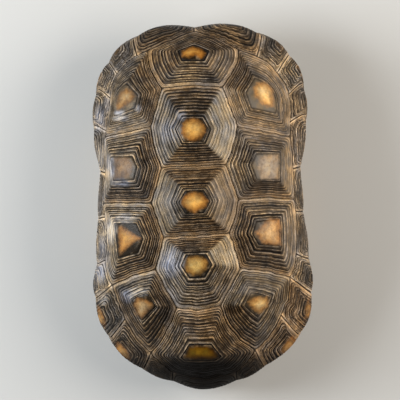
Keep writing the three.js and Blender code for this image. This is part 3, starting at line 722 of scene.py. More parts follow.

# %% [markdown]
# Five vertebral plates run down the middle of the back, and four costals lie on each side of
# them. A rule would give plates that are all alike, so two tables hold what is each plate's
# own: its seams, the corners of its areola, its stain, the fresh horn beside its seams, and the
# painted light and shade of its sides.

# %% Vertebral plates on the sheet
# A seam's name ends in its side. Seams joined by + are one side of a plate. The lists of
# smoothness, which paints the sides that face the lamps as lit, and of fresh horn, and the
# kinds of painted side light, follow the sides.
VERTEBRALS = [
    dict(
        edges="v1_m1_right v1_c1_right v1_v2 v1_c1_left v1_m1_left",
        areola=[(194, 46), (207.5, 51.5), (203.5, 60.5), (183, 60.5), (179.5, 51.5)],
        colour="honey",
        stain=[
            (182.5, 52.5), (187, 49.5), (193, 48.5), (199.5, 49.5), (205, 54.5), (201, 58.5),
            (195, 56.5), (188.5, 58.5), (183, 57),
        ],
        ring_count=10,
        calm=[0, 0.35, 0, 0.1, 0],
        fresh=[0.3, 0.5, 1, 0.5, 0.3],
        weather="dark pale plain brown brown",
    ),
    dict(
        edges="v1_v2 v2_c1_right v2_c2_right v2_v3 v2_c2_left v2_c1_left",
        areola=[(184, 119.5), (202, 119.5), (208, 130), (203, 142), (184, 142), (178, 130)],
        colour="amber",
        stain=[
            (183, 124), (187, 120.5), (193, 119), (199, 121), (204, 126), (205, 133),
            (200, 139), (193, 142), (186, 139), (182, 134),
        ],
        ring_count=11,
        calm=[0, 0.65, 0.8, 0, 0.3, 0.3],
        fresh=[1, 0.6, 0.6, 1, 0.5, 0.5],
        weather="umber bleached bleached dark silver silver",
    ),
    dict(
        edges="v2_v3 v3_c2_right v3_c3_right v3_v4 v3_c3_left v3_c2_left",
        areola=[
            (186, 191.5), (203, 191), (209.5, 201.5), (203, 212.5), (186, 213), (179.5, 202.5),
        ],
        colour="amber",
        stain=[
            (182, 202), (186, 195), (194, 192), (203, 195), (208, 201), (205, 207),
            (199, 209.5), (194, 213), (189, 210), (184, 206),
        ],
        ring_count=10,
        calm=[0, 0.5, 0.55, 0, 0.3, 0.35],
        fresh=[1, 0.6, 0.6, 1, 0.5, 0.5],
        weather="brown pale pale dark silver silver",
    ),
    dict(
        edges="v3_v4 v4_c3_right v4_c4_right v4_v5 v4_c4_left v4_c3_left",
        areola=[(187, 255), (205, 254.5), (211, 264), (204, 275.5), (190, 276), (182.5, 265)],
        colour="olive",
        stain=[
            (184.5, 264), (188, 257.5), (195, 255.5), (203, 257), (207.5, 261), (206, 268),
            (199, 274), (193, 274.5), (187, 270),
        ],
        ring_count=11,
        calm=[0, 0.7, 0.25, 0, 0.2, 0.5],
        fresh=[1, 0.6, 0.6, 0.8, 0.5, 0.5],
        weather="brown bleached plain plain silver silver",
    ),
    dict(
        edges="v4_v5 v5_c4_right v5_m11_right v5_tail v5_m11_left v5_c4_left",
        areola=[(190, 344.5), (211, 344.5), (220, 356), (214, 359.5), (186, 360), (182, 357)],
        colour="bronze",
        stain=[
            (184.5, 357), (190, 347), (197, 345.5), (208, 346), (213, 350), (218, 357),
            (212, 358), (190, 358),
        ],
        ring_count=11,
        calm=[0, 0, 0, 0, 0, 0],
        fresh=[0.8, 0.4, 0.1, 0, 0.1, 0.4],
        weather="sunny tawny brown dark brown tawny",
    ),
]
print(len(VERTEBRALS), "vertebral plates are drawn")

# %% Costal plates on the sheet
COSTALS = [  # what both sides share; * stands for the side
    dict(
        edges="v1_c1_* v2_c1_* c1_c2_* c1_m5_*+c1_m4_*+c1_m3_*+c1_m2_*+c1_m1_*",
        ring_count=10,
        fresh=[0.5, 0.5, 1, 0.15],
    ),
    dict(
        edges="v2_c2_* v3_c2_* c2_c3_* c2_m6_*+c2_m5_* c1_c2_*",
        ring_count=9,
        fresh=[0.5, 0.5, 1, 0.2, 1],
        even=0.6,
    ),
    dict(
        edges="v3_c3_* v4_c3_* c3_c4_* c3_m8_*+c3_m7_*+c3_m6_* c2_c3_*",
        ring_count=9,
        fresh=[0.5, 0.5, 1, 0.15, 1],
        even=0.15,
    ),
    dict(edges="v4_c4_* v5_c4_* c4_m10_*+c4_m9_* c3_c4_*", ring_count=9, fresh=[0.5, 0.6, 0.1, 1]),
]
COSTAL_SIDES = {
    "left": [
        dict(
            areola=[(126, 85), (137.5, 96), (135, 108), (115, 116)],
            colour="clay",
            stain=[
                (121, 93), (127, 89.5), (132, 91.5), (135.5, 97), (132, 102.5), (126, 106),
                (119, 111.5), (117, 106), (118, 98),
            ],
            calm=[0.1, 0, 0.2, 0.05],
            weather="brown brown plain slate",
            bare=0.3,
            bow=5.0,
        ),
        dict(
            areola=[(132, 158), (136.5, 167.3), (133.6, 179), (114, 180), (111, 158)],
            colour="mushroom",
            stain=[(115, 159), (128, 158), (133, 163), (133, 172), (127, 178), (115, 179)],
            calm=[0, 0, 0, 0.4, 0.1],
            weather="brown brown dark silver plain",
            bare=0.4,
        ),
        dict(
            areola=[(136, 224), (143, 238.5), (138, 252), (119, 257), (115, 224)],
            colour="ember",
            stain=[(119.5, 227), (122, 226.5), (140, 238), (128, 247), (120.5, 254)],
            calm=[0, 0, 0, 0.3, 0],
            weather="brown brown dark silver silver",
        ),
        dict(
            areola=[(148, 293), (156, 306), (142, 320), (132.5, 300)],
            colour="clay",
            stain=[
                (133.5, 303), (138, 297.5), (146, 298.5), (153, 304), (149.5, 309.5),
                (142, 318), (136, 314),
            ],
            calm=[0, 0, 0.2, 0],
            weather="brown dark dark silver",
            bow=1.0,
        ),
    ],
    "right": [
        dict(
            areola=[(255, 80), (246.5, 93.5), (251.5, 108), (275, 113)],
            colour="gold",
            stain=[
                (253.5, 89), (256, 84.5), (262, 82.5), (268, 85), (272, 90), (273, 99),
                (273, 107), (268, 108), (260, 103), (255, 97),
            ],
            calm=[0.2, 0.3, 0.3, 0.35],
            weather="brown pale pale pale",
            bare=0.75,
            bow=7.0,
        ),
        dict(
            areola=[(256.4, 155), (251.5, 165.5), (257, 179.5), (278, 179.5), (278, 154.5)],
            colour="sand",
            stain=[(260, 157), (277.5, 155), (278, 179), (261, 179), (257, 168)],
            calm=[0, 0.1, 0.2, 0.6, 0.2],
            weather="plain plain brown pale pale",
            bare=0.8,
        ),
        dict(
            areola=[(256.4, 221.8), (252.7, 233.6), (259, 243.6), (279, 244.5), (277.3, 220)],
            colour="rust",
            stain=[(269.5, 218), (279, 219.5), (280.5, 245), (262, 242.5), (255, 232)],
            calm=[0, 0, 0.1, 0.4, 0.1],
            weather="brown brown brown pale plain",
            bare=0.3,
        ),
        dict(
            areola=[(251, 293), (245, 305), (258, 315.5), (269, 298)],
            colour="straw",
            stain=[
                (248, 301), (259, 295.5), (267, 296.4), (268, 305.5), (259, 312.7), (249, 304.5),
            ],
            calm=[0.2, 0, 0.25, 0.35],
            weather="ashen brown plain ashen",
            bare=0.2,
            bow=1.0,
        ),
    ],
}
print(2 * len(COSTALS), "costal plates are drawn")

# %% [markdown]
# The plates over the back are drawn like a spider's web: spokes run from the areola to the
# seams, and each ring joins them. The areola has a corner for each corner of the plate, so
# the rings turn on straight lines between the two, as they do on the real horn.

# %% Lines on the sheet
def walk(line):
    """How far along a line each of its points lies."""
    return np.append(0, np.cumsum(np.linalg.norm(np.diff(line, axis=0), axis=1)))


def resample(line, count):
    """That many even places along a line, without its end."""
    lengths = walk(line)
    at = np.linspace(0, lengths[-1], count, endpoint=False)
    return np.stack([np.interp(at, lengths, line[:, k]) for k in (0, 1)], 1)


def seam_ends(names):
    return [seams[name][k] for name in names.split("+") for k in (0, -1)]


def nearest(places, goals):
    """The place that is nearest to any of the goals."""
    return min(places, key=lambda place: min(np.linalg.norm(place - goal) for goal in goals))


def join_seams(names, start):
    """Seams put end to end, from the end that is nearest to start."""
    joined = np.array([start])
    for name in names.split("+"):
        line = seams[name]
        if np.linalg.norm(line[0] - joined[-1]) > np.linalg.norm(line[-1] - joined[-1]):
            line = line[::-1]
        joined = np.concatenate([joined[:-1], line])
    return joined


def inside_distance(points, places):
    """How far points lie inside a polygon on the sheet, in mm, and less than 0 outside."""
    corners = plan(places)
    nearest_side = np.full(points.shape[:-1], np.inf)
    inside = np.zeros(points.shape[:-1], bool)
    for a, b in zip(corners, np.roll(corners, -1, 0)):
        way = b - a
        share = np.clip(((points - a) @ way) / (way @ way), 0, 1)
        away = np.linalg.norm(points - a - share[..., None] * way, axis=-1)
        nearest_side = np.minimum(nearest_side, away)
        crosses = (a[1] > points[..., 1]) != (b[1] > points[..., 1])
        reach = a[0] + (points[..., 1] - a[1]) * way[0] / (way[1] if way[1] else 1e-9)
        inside ^= crosses & (points[..., 0] < reach)
    return np.where(inside, nearest_side, -nearest_side)


tail_length = walk(seams["v5_tail"])[-1]
print("the seam over the tail is", round(tail_length), "mm long")

# %% The web of a plate
SPOKE_STEP = 1.7  # mm between spokes along a seam
LEAST_SPOKES = 6
SEAM_GAP = 0.12
RING_WANDER = 0.3  # mm
AREOLA_LINES = 10
SMOOTHING_ROUNDS = 2
BOWED_SIDE = 3  # of an areola, the side that may swell outwards


def across_way(a, b, heart):
    """The direction square to a side and away from the heart."""
    across = (b - a)[::-1] * (-1, 1) / np.linalg.norm(b - a)
    return across * np.sign(across @ ((a + b) / 2 - heart))


def web_points(edges, areola_places, bow, dice, rings):
    """The web in plan, from its heart out to the seams, and facts about its lines and spokes."""
    areola_corners = plan(areola_places)
    heart = areola_corners.mean(0)
    outer, areola, sides = [], [], []
    start = nearest(seam_ends(edges[-1]), seam_ends(edges[0]))
    for k, names in enumerate(edges):
        line = join_seams(names, start)
        start = line[-1]
        count = max(LEAST_SPOKES, round(walk(line)[-1] / SPOKE_STEP))
        outer.append(resample(line, count))
        share = np.linspace(0, 1, count, endpoint=False)[:, None]
        a, b = areola_corners[k], areola_corners[(k + 1) % len(areola_corners)]
        swell = 4 * (bow if k == BOWED_SIDE else 0) * share * (1 - share)
        areola.append(a + (b - a) * share + swell * across_way(a, b, heart))
        sides += [k] * count
    outer, areola = np.concatenate(outer), np.concatenate(areola)
    reach = np.linalg.norm(outer - areola, axis=1)
    outer = outer + (areola - outer) * (SEAM_GAP / reach)[:, None]
    levels = rings.levels()[:, None]
    wave = wander(dice, np.arange(len(outer)) / len(outer), levels)
    drift = RING_WANDER * wave * np.sin(math.pi * levels) ** 0.7 / reach
    t = np.clip(levels + drift, 0, 1)
    core = np.linspace(0, 1, AREOLA_LINES + 1)[1:-1, None]
    inner_web = heart + (areola - heart) * core[..., None]
    web = np.concatenate([inner_web, areola + (outer - areola) * t[..., None]])
    for _ in range(SMOOTHING_ROUNDS):
        beside = (np.roll(web, 1, axis=1) + np.roll(web, -1, axis=1)) / 2
        web[:-1] = (web[:-1] + beside[:-1]) / 2
    return web, np.concatenate([core - 1, levels]), heart, reach, sides


print("an areola has", AREOLA_LINES, "lines of mesh")

# %% [markdown]
# A plate is thin: the web lies on top, a short wall goes down into the seam, and a plain
# underside closes it, because a loose plate is finished all round. Its middle stands up in a
# low boss, so the back of the animal is a row of blunt pyramids.

# %% A plate of the back
KERATIN = 1.8  # thickness of a plate at its edge, mm
HORN_AT_HEART = 2.2
VERTEBRAL_BOSS = 7.0  # how far an areola stands over the seams
COSTAL_BOSS = 6.0
AREOLA_SWELL = 0.5
EDGE_ROLL = 0.8  # how wide a plate's edge rolls down into the seam
EDGE_DROP = 0.5
EDGE_SHADE = 0.9  # how black the horn is down in the seam
SEAM_BAND = 5.0  # width of the fresh tan horn beside a seam
EVEN_CORE = 0.6
STAIN_FADE, STAIN_DEPTH = 5, 8  # mm over which a stain fades in, and then clears
RIDGE = (1.25, 0.4)  # how far the last pale ridge is from the seam, and its width, mm


def pyramid(t):
    """A plate's rise from its seams at t = 1 to its areola at t = 0, as a share."""
    up = np.clip(1 - t, 0, 1)
    return up * (1.2 - 0.2 * up)


def side_values(sides, calm, fresh, weather):
    """What each side of a plate has, for every spoke, softened at the corners."""
    kinds = zip(calm, fresh, weather.split())
    values = np.array([(calm, fresh, *PAINTED_SIDE_LIGHT_TINTS[kind]) for calm, fresh, kind in kinds])[sides]
    for _ in range(SMOOTHING_ROUNDS):
        values = (values * 2 + np.roll(values, 1, 0) + np.roll(values, -1, 0)) / 4
    return values[:, 0], values[:, 1], values[:, 2:]


def back_plate(
    name, node, boss, seed, edges, areola, colour, stain, ring_count, calm, fresh, weather,
    bare=0.0, even=0.0, bow=0.0,
):
    """One vertebral or costal plate: the web, its wall and its underside.

    bare is how smooth the areola is rubbed, and even how flat its colour is."""
    dice = np.random.default_rng(seed)
    rings = Rings(dice, ring_count)
    web, way_out, heart, reach, sides = web_points(edges.split(), areola, bow, dice, rings)
    spokes = web.shape[1]
    t = np.repeat(way_out, spokes, 1)
    strength = uneven(dice, np.arange(spokes) / spokes, t)
    strength *= 1 - 0.5 * bare * ease(1.3 - t / 0.25)
    relief, marks = rings.look_up(t, strength)
    calm, fresh, weathering = side_values(sides, calm, fresh, weather)
    from_seam = np.clip(1 - t, 0, 2) * reach
    roll = ease(1 - from_seam / EDGE_ROLL)
    rise = boss * pyramid(t)
    height = rise + relief * (1 - roll) - EDGE_DROP * roll + AREOLA_SWELL * ease(-t)

    footing = lift_over(web, rise)
    foot = lift_over(heart[None], np.array([boss]))
    under = [
        lift(foot + (footing[-1] - foot) * share, np.full(spokes, level))
        for share, level in ((1.0, -KERATIN), (0.6, 0.4 * boss - KERATIN))
    ]
    loops = np.concatenate([lift(footing, height), under])
    top = lift(foot, np.array([boss + AREOLA_SWELL]))
    bottom = lift(foot, np.array([boss - HORN_AT_HEART]))
    points, faces = closed_skin(top, loops, bottom)

    inside = inside_distance(web, stain)
    marks["crest"] = np.maximum(marks["crest"], 0.8 * hump(from_seam, *RIDGE))
    marks["groove"] = np.maximum(marks["groove"], EDGE_SHADE * roll**2)
    marks["seam"] = fresh * ease(1 - from_seam / SEAM_BAND)
    marks["stain"] = np.clip(inside / STAIN_FADE + 0.5, 0, 1)
    marks["core"] = ease(inside / STAIN_DEPTH) * (1 - even) + EVEN_CORE * even
    # painted light on the sides that face the lamps, and the areola rubbed bare
    marks["calm"] = calm * ease(t * 3) + bare * ease(0.6 - 5 * t)
    # the tint of painted light and shade of each side
    marks["weathering"] = 1 + (weathering - 1) * ease(t * 4)[..., None]
    rest = {"calm": bare, "weathering": 1.0}
    hidden = len(under) * spokes + 1
    marks = {key: over_skin(part, hidden, rest.get(key, 0.0)) for key, part in marks.items()}
    marks["seam"] = np.maximum(marks["seam"], corner_at(points))
    # painted shade over the tail, and painted sheen
    marks |= {"dusk": painted_shade_at(points), "silver": painted_sheen_at(points)}
    marks["stain_colour"] = np.tile(STAINS[colour], (len(points), 1))
    return build_piece(name, node, points, faces, marks, back_horn)


print("an areola stands", VERTEBRAL_BOSS, "or", COSTAL_BOSS, "mm over the seams")

# %% Build the plates of the back
plates = []
for i, spec in enumerate(VERTEBRALS, 1):
    name, node = f"vertebral_scute_{i}", f"vertebral_{i}"
    plates.append(back_plate(name, node, VERTEBRAL_BOSS, 100 + i, **spec))
for i, shared in enumerate(COSTALS):
    for j, side in enumerate(SIDES):
        spec = shared | COSTAL_SIDES[side][i] | {"edges": shared["edges"].replace("*", side)}
        name, node = f"costal_scute_{side}_{i + 1}", f"costal_{side}_{i + 1}"
        plates.append(back_plate(name, node, COSTAL_BOSS, 200 + 10 * i + j, **spec))
count_triangles("plates of the back", plates)

# %% [markdown]
# The marginals run round the rim like a frill. Each is drawn on a chart of its own: u runs
# along the rim and v from the upper seam down to the lower edge. Its areola lies near the
# rim, so its rings open out from there. Where the rim hangs free, at the neck, the limbs and
# the tail, the horn folds round the edge and a little way up inside, as it does on the animal.

# %% The rim plates on the sheet
MARGINALS = [  # seams on top, bulge in mm, stain, and for each side the areola's u and painted side light
    ("v1_m1_*+c1_m1_*", 2.6, 0.1, (0.6, "dark"), (0.6, "tawny")),
    ("c1_m2_*", 2, 0.3, (0.6, "plain"), (0.6, "ashen")),
    ("c1_m3_*", 1.4, 0.3, (0.6, "plain"), (0.6, "ashen")),
    ("c1_m4_*", 0.3, 0.1, (0.6, "plain"), (0.6, "plain")),
    ("c1_m5_*+c2_m5_*", 0, 0.0, (0.6, "silver"), (0.6, "pale")),
    ("c2_m6_*+c3_m6_*", 0, 0.0, (0.6, "silver"), (0.6, "plain")),
    ("c3_m7_*", 0, 0.0, (0.6, "silver"), (0.6, "plain")),
    ("c3_m8_*", 0.5, 0.15, (0.6, "silver"), (0.6, "plain")),
    ("c4_m9_*", 0.8, 0.62, (0.46, "slate"), (0.4, "sunny")),
    ("c4_m10_*", 1.4, 0.85, (0.4, "brown"), (0.32, "sunny")),
    ("v5_m11_*", 0.6, 0.3, (0.6, "dark"), (0.6, "brown")),
]
SUPRACAUDAL_BULGE = 0.5
print(2 * len(MARGINALS), "marginals and a supracaudal run round the rim")

# %% Chart of a rim plate
MARGINAL_STEP = 0.62  # mm between lines of mesh
LEAST_COLUMNS = 24
PATH_PLACES, RIM_PLACES_BETWEEN = 33, 9
BRIDGE_START, BRIDGE_END, BRIDGE_FADE = 2.9, 8.1, 0.6  # in stations from the neck
BRIDGE_HOLD = 0.96


def free_rim(s):
    """1 where the rim hangs free, and nearly 0 along the bridges."""
    station = np.mod(s, RIM_COUNT)
    side = np.minimum(station, RIM_COUNT - station)
    held = ease((side - BRIDGE_START) / BRIDGE_FADE) * ease((BRIDGE_END - side) / BRIDGE_FADE)
    return 1 - BRIDGE_HOLD * held


def rim_chart(line, from_s, to_s):
    """The columns of a rim plate, its width, its depth at each, how free the rim is there,
    and a function that turns shares of that depth into places on the dome."""
    s, g = locate(line)
    s = s + RIM_COUNT * np.round(((from_s + to_s) / 2 - s) / RIM_COUNT)
    if s[0] > s[-1]:
        s, g, line = s[::-1], g[::-1], line[::-1]
    lengths = walk(line)
    rim_s = np.linspace(from_s, to_s, RIM_PLACES_BETWEEN)
    rim_line = dome(rim_s, np.ones_like(rim_s))
    wide = (lengths[-1] + walk(rim_line)[-1]) / 2
    u = np.linspace(0, 1, max(LEAST_COLUMNS, round(wide / MARGINAL_STEP)) + 1)
    inset = SEAM_GAP / wide
    u_at = inset + (1 - 2 * inset) * u
    top_s, top_g = (np.interp(u_at, lengths / lengths[-1], values) for values in (s, g))
    low_s = from_s + (to_s - from_s) * u_at

    def down_path(share):
        path_s = top_s[:, None] + (low_s - top_s)[:, None] * share
        return path_s, top_g[:, None] + (2 - top_g)[:, None] * share

    share = np.linspace(0, 1, PATH_PLACES)
    walked = np.stack([walk(path) for path in dome(*down_path(share))])
    deep = walked[:, -1]

    def on_dome(v):
        return down_path(
            np.stack([np.interp(v[k] * deep[k], walked[k], share) for k in range(len(u))])
        )

    return u, wide, deep, free_rim(low_s), on_dome


print("the bridges hold", BRIDGE_HOLD, "of the rim's edge")

# %% [markdown]
# A section through a rim plate runs down the outer face and round the fold, climbs a little
# inside the lip, and returns behind the horn to the upper seam. The bone's edge lies in the
# fold. One list of places says all that, so the whole plate is a single skin.

# %% Section of a rim plate
BONE = 3.6
JOIN_GAP = 0.3
LIP_REACH = 8.0  # how far the horn folds up inside a free rim, mm
LIP_DIP = 1.4
FOLD = np.array([0.15, 0.35, 0.5, 0.65, 0.85, 1.0])  # shares of the way round the fold,
CLIMB = (0.25, 0.5, 0.75, 1.0)  # of the climb inside the lip,
BACK = (1.0, 0.66, 0.33)  # and of the way back to the seam


def rim_profile(v_outer, v_start, lip, deep):
    """Each line of the section, as v and as depth under the surface."""
    horn = KERATIN + (BONE + 2 * JOIN_GAP + KERATIN) * lip
    inner_horn = KERATIN + (BONE + 2 * JOIN_GAP) * lip
    back = 1 - lip * LIP_REACH / deep
    lines = [(v, 0.0) for v in v_outer]
    lines += [(1.0, horn * share) for share in FOLD]
    lines += [(1 - (1 - back) * share, horn) for share in CLIMB]
    lines += [(back, inner_horn), (1.0, inner_horn)]
    lines += [(v, KERATIN) for v in (*BACK, v_start)]
    return [
        np.stack([np.broadcast_to(value, len(lip)) for value in values], 1)
        for values in zip(*lines)
    ]


print("the fold has", len(FOLD), "lines of mesh, and the lip", len(CLIMB))

# %% A plate of the rim
MARGINAL_BOSS = 1.2
MARGINAL_RELIEF = 0.8
MARGINAL_CORE = 0.2
MARGINAL_WANDER = 0.012
MARGINAL_PAINTED_SHADE = 0.96
MARGINAL_TONE = 0.3
AREOLA_V = 0.8
STAIN_V = 0.72
STAIN_WIDTH, STAIN_HEIGHT = 10, 8  # mm
SQUARENESS = 8  # of the rings' corners
END_RIDGE, SEAM_RIDGE = (1.35, 0.5), (1.35, 0.45)  # along the two ends, and beside all seams
EDGE_FADE = 1.2  # mm over which the relief fades out towards the lower edge


def rim_plate(name, node, line, from_s, to_s, bulge, stained, areola_u, weather, seed):
    """One marginal, or the supracaudal over the tail."""
    dice = np.random.default_rng(seed)
    rings = Rings(dice, int(dice.integers(7, 10)), taper=0.9)
    u, wide, deep, lip, on_dome = rim_chart(line, from_s, to_s)
    rows = round(deep.mean() / MARGINAL_STEP)
    v = np.linspace(0, 1, rows + 1)
    v_start = SEAM_GAP / deep.mean()
    all_v, depth = rim_profile(v_start + (1 - v_start) * v, v_start, lip, deep)
    grid_s, grid_g = on_dome(all_v)
    points = dome(grid_s, grid_g)
    swell = bulge * np.sin(math.pi * u)[:, None] * all_v**2
    points[..., :2] += unit(points[..., :2] - HEART) * swell[..., None]

    uu, vv = np.meshgrid(u, v, indexing="ij")
    along = np.maximum((uu - areola_u) / (1 - areola_u), 1 - uu / areola_u)
    down = np.maximum((vv - AREOLA_V) / (1 - AREOLA_V), 1 - vv / AREOLA_V)
    sharp = sum(way**SQUARENESS * (way > 0) for way in (along, down))
    t = np.clip((sharp ** (1 / SQUARENESS) - MARGINAL_CORE) / (1 - MARGINAL_CORE), -1, 1)
    drift = MARGINAL_WANDER * wander(dice, uu * 0.3 + vv * 0.2, t) * (t > 0)
    strength = uneven(dice, uu + vv, t)
    relief, marks = rings.look_up(np.clip(t + drift, -1, 1), strength)
    from_side = np.minimum(uu, 1 - uu) * wide
    from_seam = np.minimum(vv * deep[:, None], from_side)
    roll = ease(1 - from_seam / EDGE_ROLL)
    height = MARGINAL_BOSS * pyramid(t) + relief * (1 - roll) * MARGINAL_RELIEF - EDGE_DROP * roll
    depth[:, : rows + 1] -= height * ease((1 - vv) * deep[:, None] / EDGE_FADE)
    points -= dome_normal(grid_s, grid_g) * depth[..., None]
    folded = slice(rows + 1, rows + 1 + len(FOLD))
    points[:, folded, 2] -= LIP_DIP * lip[:, None] * np.sin(math.pi * FOLD)

    across = (uu - areola_u) * wide / STAIN_WIDTH
    around = np.hypot(across, (vv - STAIN_V) * deep[:, None] / STAIN_HEIGHT)
    ridges = 0.95 * hump(from_side, *END_RIDGE) + 0.45 * hump(from_seam, *SEAM_RIDGE)
    marks["groove"] = np.maximum(marks["groove"], EDGE_SHADE * roll**2)
    marks["crest"] = np.maximum(marks["crest"], ridges)
    beside, above = ease(1 - from_side / SEAM_BAND), ease(1 - from_seam / SEAM_BAND)
    marks["seam"] = np.maximum(0.85 * beside, 0.25 * above)
    marks["stain"] = stained * np.clip((1 - around) * 1.6 + 0.3, 0, 1)
    marks["core"] = ease(1 - around)
    marks["calm"] = np.zeros_like(t)
    columns, lines = points.shape[:2]
    for key, values in marks.items():
        everywhere = np.full((columns, lines), MARGINAL_TONE if key == "tone" else 0.0)
        everywhere[:, : rows + 1] = values
        marks[key] = everywhere.ravel()
    points = points.reshape(-1, 3)
    # painted shade over the tail, and painted sheen
    marks |= {"dusk": MARGINAL_PAINTED_SHADE * painted_shade_at(points), "silver": painted_sheen_at(points)}
    # painted light and shade of the plate's side of the shell
    marks["weathering"] = np.tile(PAINTED_SIDE_LIGHT_TINTS[weather], (len(points), 1))
    marks["stain_colour"] = np.tile(STAINS["orange"], (len(points), 1))
    return build_piece(name, node, points, skin(columns, lines), marks, back_horn)


print("the horn folds up", LIP_REACH, "mm inside a free rim")

# %% Build the plates of the rim
rim_plates = []
for i, (names, bulge, stained, *places) in enumerate(MARGINALS):
    for j, (side, (areola_u, weather)) in enumerate(zip(SIDES, places)):
        names_here = names.replace("*", side)
        line = join_seams(names_here, seam_ends(names_here)[0])
        from_s = i
        if side == "left":
            from_s, areola_u = RIM_COUNT - i - 1, 1 - areola_u
        name, node = f"marginal_scute_{side}_{i + 1}", f"marginal_{side}_{i + 1}"
        spec = (bulge, stained, areola_u, weather, 300 + 10 * i + j)
        rim_plates.append(rim_plate(name, node, line, from_s, from_s + 1, *spec))
name, node, line = "supracaudal_scute", "supracaudal", seams["v5_tail"]
spec = (SUPRACAUDAL_BULGE, 0.0, 0.5, "dark", 420)
rim_plates.append(rim_plate(name, node, line, TAIL_S - 1, TAIL_S + 1, *spec))
count_triangles("plates of the rim", rim_plates)

# %% [markdown]
# The plastron closes the shell below: a flat plate, dished in a male, that curls up to its
# edges and joins the carapace along the two bridges. It is drawn as a height over the floor,
# which rises steeply near the outline. Its outline is star-shaped about a point, so a table
# of how far out it lies in each direction is all that the height needs.

# %% Outline of the underside
MIRROR = 398.0  # a place on the left is this minus its place on the right
PLASTRON_HEART = plan([199, 205])
BELLY_CORNERS = {  # on the right side of the sheet: x, y, and the height of edge corners in mm
    "front": (199, 52, 9),
    "gular_tip": (214, 47, 9.5),
    "gular_corner": (224, 53, 8.5),
    "gular_middle": (199, 84),
    "shoulder": (233, 58, 7.5),
    "arm": (255, 84, 6.5),
    "armpit": (267, 108, 9),
    "axilla": (271, 124, 15),
    "humeral_bend": (235, 136),
    "humeral_middle": (199, 137),
    "pectoral_bend": (240, 153),
    "pectoral_middle": (199, 152),
    "abdominal_bend": (240, 268),
    "abdominal_middle": (199, 262),
    "groin": (269, 284, 14),
    "thigh": (263, 305, 8),
    "knee": (255, 330, 5),
    "anal_corner": (247, 344, 4.5),
    "femoral_bend": (235, 330),
    "femoral_middle": (199, 318),
    "anal_side": (239, 352, 4.2),
    "anal_tip": (223, 360, 4),
    "anal_notch": (199, 343, 3.6),
}
BRIDGE_CORNERS = {"axillary_tip": 13 / 3, "bridge": 5.0, "inguinal_tip": 20 / 3}  # as s
FRONT_EDGE = "front gular_tip gular_corner shoulder arm armpit axilla".split()
REAR_EDGE = "groin thigh knee anal_corner anal_side anal_tip anal_notch".split()
BRIDGE_S = np.linspace(11 / 3, 22 / 3, 56)
BRIDGE_GAP = 0.4
OUTLINE_STEPS = 16


def bridge_point(side, s):
    """A place just under the lower edge of the dome."""
    s = np.float64(s if side == "right" else RIM_COUNT - s)
    return dome(s, 2.0) + unit(dome(s, 2.0) - dome(s, 1.98)) * BRIDGE_GAP


def belly_corner(side, key):
    """A corner with its height."""
    if key in BRIDGE_CORNERS:
        return bridge_point(side, BRIDGE_CORNERS[key])
    x, y, *level = BELLY_CORNERS[key]
    return np.append(plan([x if side == "right" else MIRROR - x, y]), level or [0])


edge_lines = {}
for side in SIDES:
    front, rear = (
        curve([belly_corner(side, key) for key in keys], OUTLINE_STEPS)
        for keys in (FRONT_EDGE, REAR_EDGE)
    )
    bridge = np.array([bridge_point(side, s) for s in BRIDGE_S])
    to_bridge = np.linspace(front[-1], bridge[0], 8)[1:-1]
    from_bridge = np.linspace(bridge[-1], rear[0], 8)[1:-1]
    edge_lines[side] = np.concatenate([front, to_bridge, bridge, from_bridge, rear])
outline = np.concatenate(list(edge_lines.values()))
bridge_numbers = len(front) + len(to_bridge) + np.arange(len(bridge))
numbers = np.arange(len(edge_lines["right"]))
on_bridge = np.isin(numbers, bridge_numbers).astype(float)
bridge_s = np.interp(numbers, bridge_numbers, BRIDGE_S)
both_sides = np.concatenate([RIM_COUNT - bridge_s, bridge_s])

way = outline[:, :2] - PLASTRON_HEART
turn = np.arctan2(way[:, 1], way[:, 0])
order = np.argsort(turn)
EDGE_TURN, EDGE_RADIUS = turn[order], np.linalg.norm(way, axis=1)[order]
EDGE_HEIGHT = outline[order, 2]
EDGE_BRIDGE = np.tile(on_bridge, 2)[order]
EDGE_NORMAL = dome_normal(both_sides, np.full(len(both_sides), 2.0))[order]
print("the outline of the underside has", len(outline), "points")

# %% Height of the underside
DISH_DEPTH = 4.5
DISH_HALF_WIDTH = 44.0
DISH_HALF_LENGTH = 64.0
DISH_CENTRE_Y = -6.0
PLASTRON_SINK = 1.6
PLASTRON_CURL = 6
SLOPE_REACH = 5.0
BRIDGE_TURN = 0.88  # how far out the underside starts to turn square to the dome


def at_edge(turn, values):
    """What the outline has in a direction."""
    return np.interp(turn, EDGE_TURN, values, period=math.tau)


def out_of(points):
    """The direction of plan points from the plastron's heart, and their share of the way out."""
    way = points - PLASTRON_HEART
    turn = np.arctan2(way[..., 1], way[..., 0])
    return turn, np.linalg.norm(way, axis=-1) / at_edge(turn, EDGE_RADIUS)


def belly_height(points):
    turn, out = out_of(points)
    across = points[..., 0] / DISH_HALF_WIDTH
    along = (points[..., 1] - DISH_CENTRE_Y) / DISH_HALF_LENGTH
    dish = (DISH_DEPTH + PLASTRON_SINK) * np.maximum(0, 1 - across**2 - along**2) ** 2
    curl = (at_edge(turn, EDGE_HEIGHT) + PLASTRON_SINK) * out**PLASTRON_CURL
    return np.maximum(0, curl - PLASTRON_SINK + dish)


def belly_point(points, depth):
    """A point over the underside by a depth, which may be one number for all."""
    slopes = [
        (belly_height(points + step) - belly_height(points - step)) / (2 * SLOPE_REACH)
        for step in SLOPE_REACH * np.eye(2)
    ]
    normal = unit(np.stack([*slopes, -np.ones(points.shape[:-1])], -1))
    turn, out = out_of(points)
    share = at_edge(turn, EDGE_BRIDGE) * ease((out - BRIDGE_TURN) / (1 - BRIDGE_TURN))
    beside = np.stack([at_edge(turn, EDGE_NORMAL[:, k]) for k in range(3)], -1)
    normal = unit(normal + (beside - normal) * share[..., None])
    place = np.concatenate([points, belly_height(points)[..., None]], -1)
    return place - normal * np.asarray(depth)[..., None]


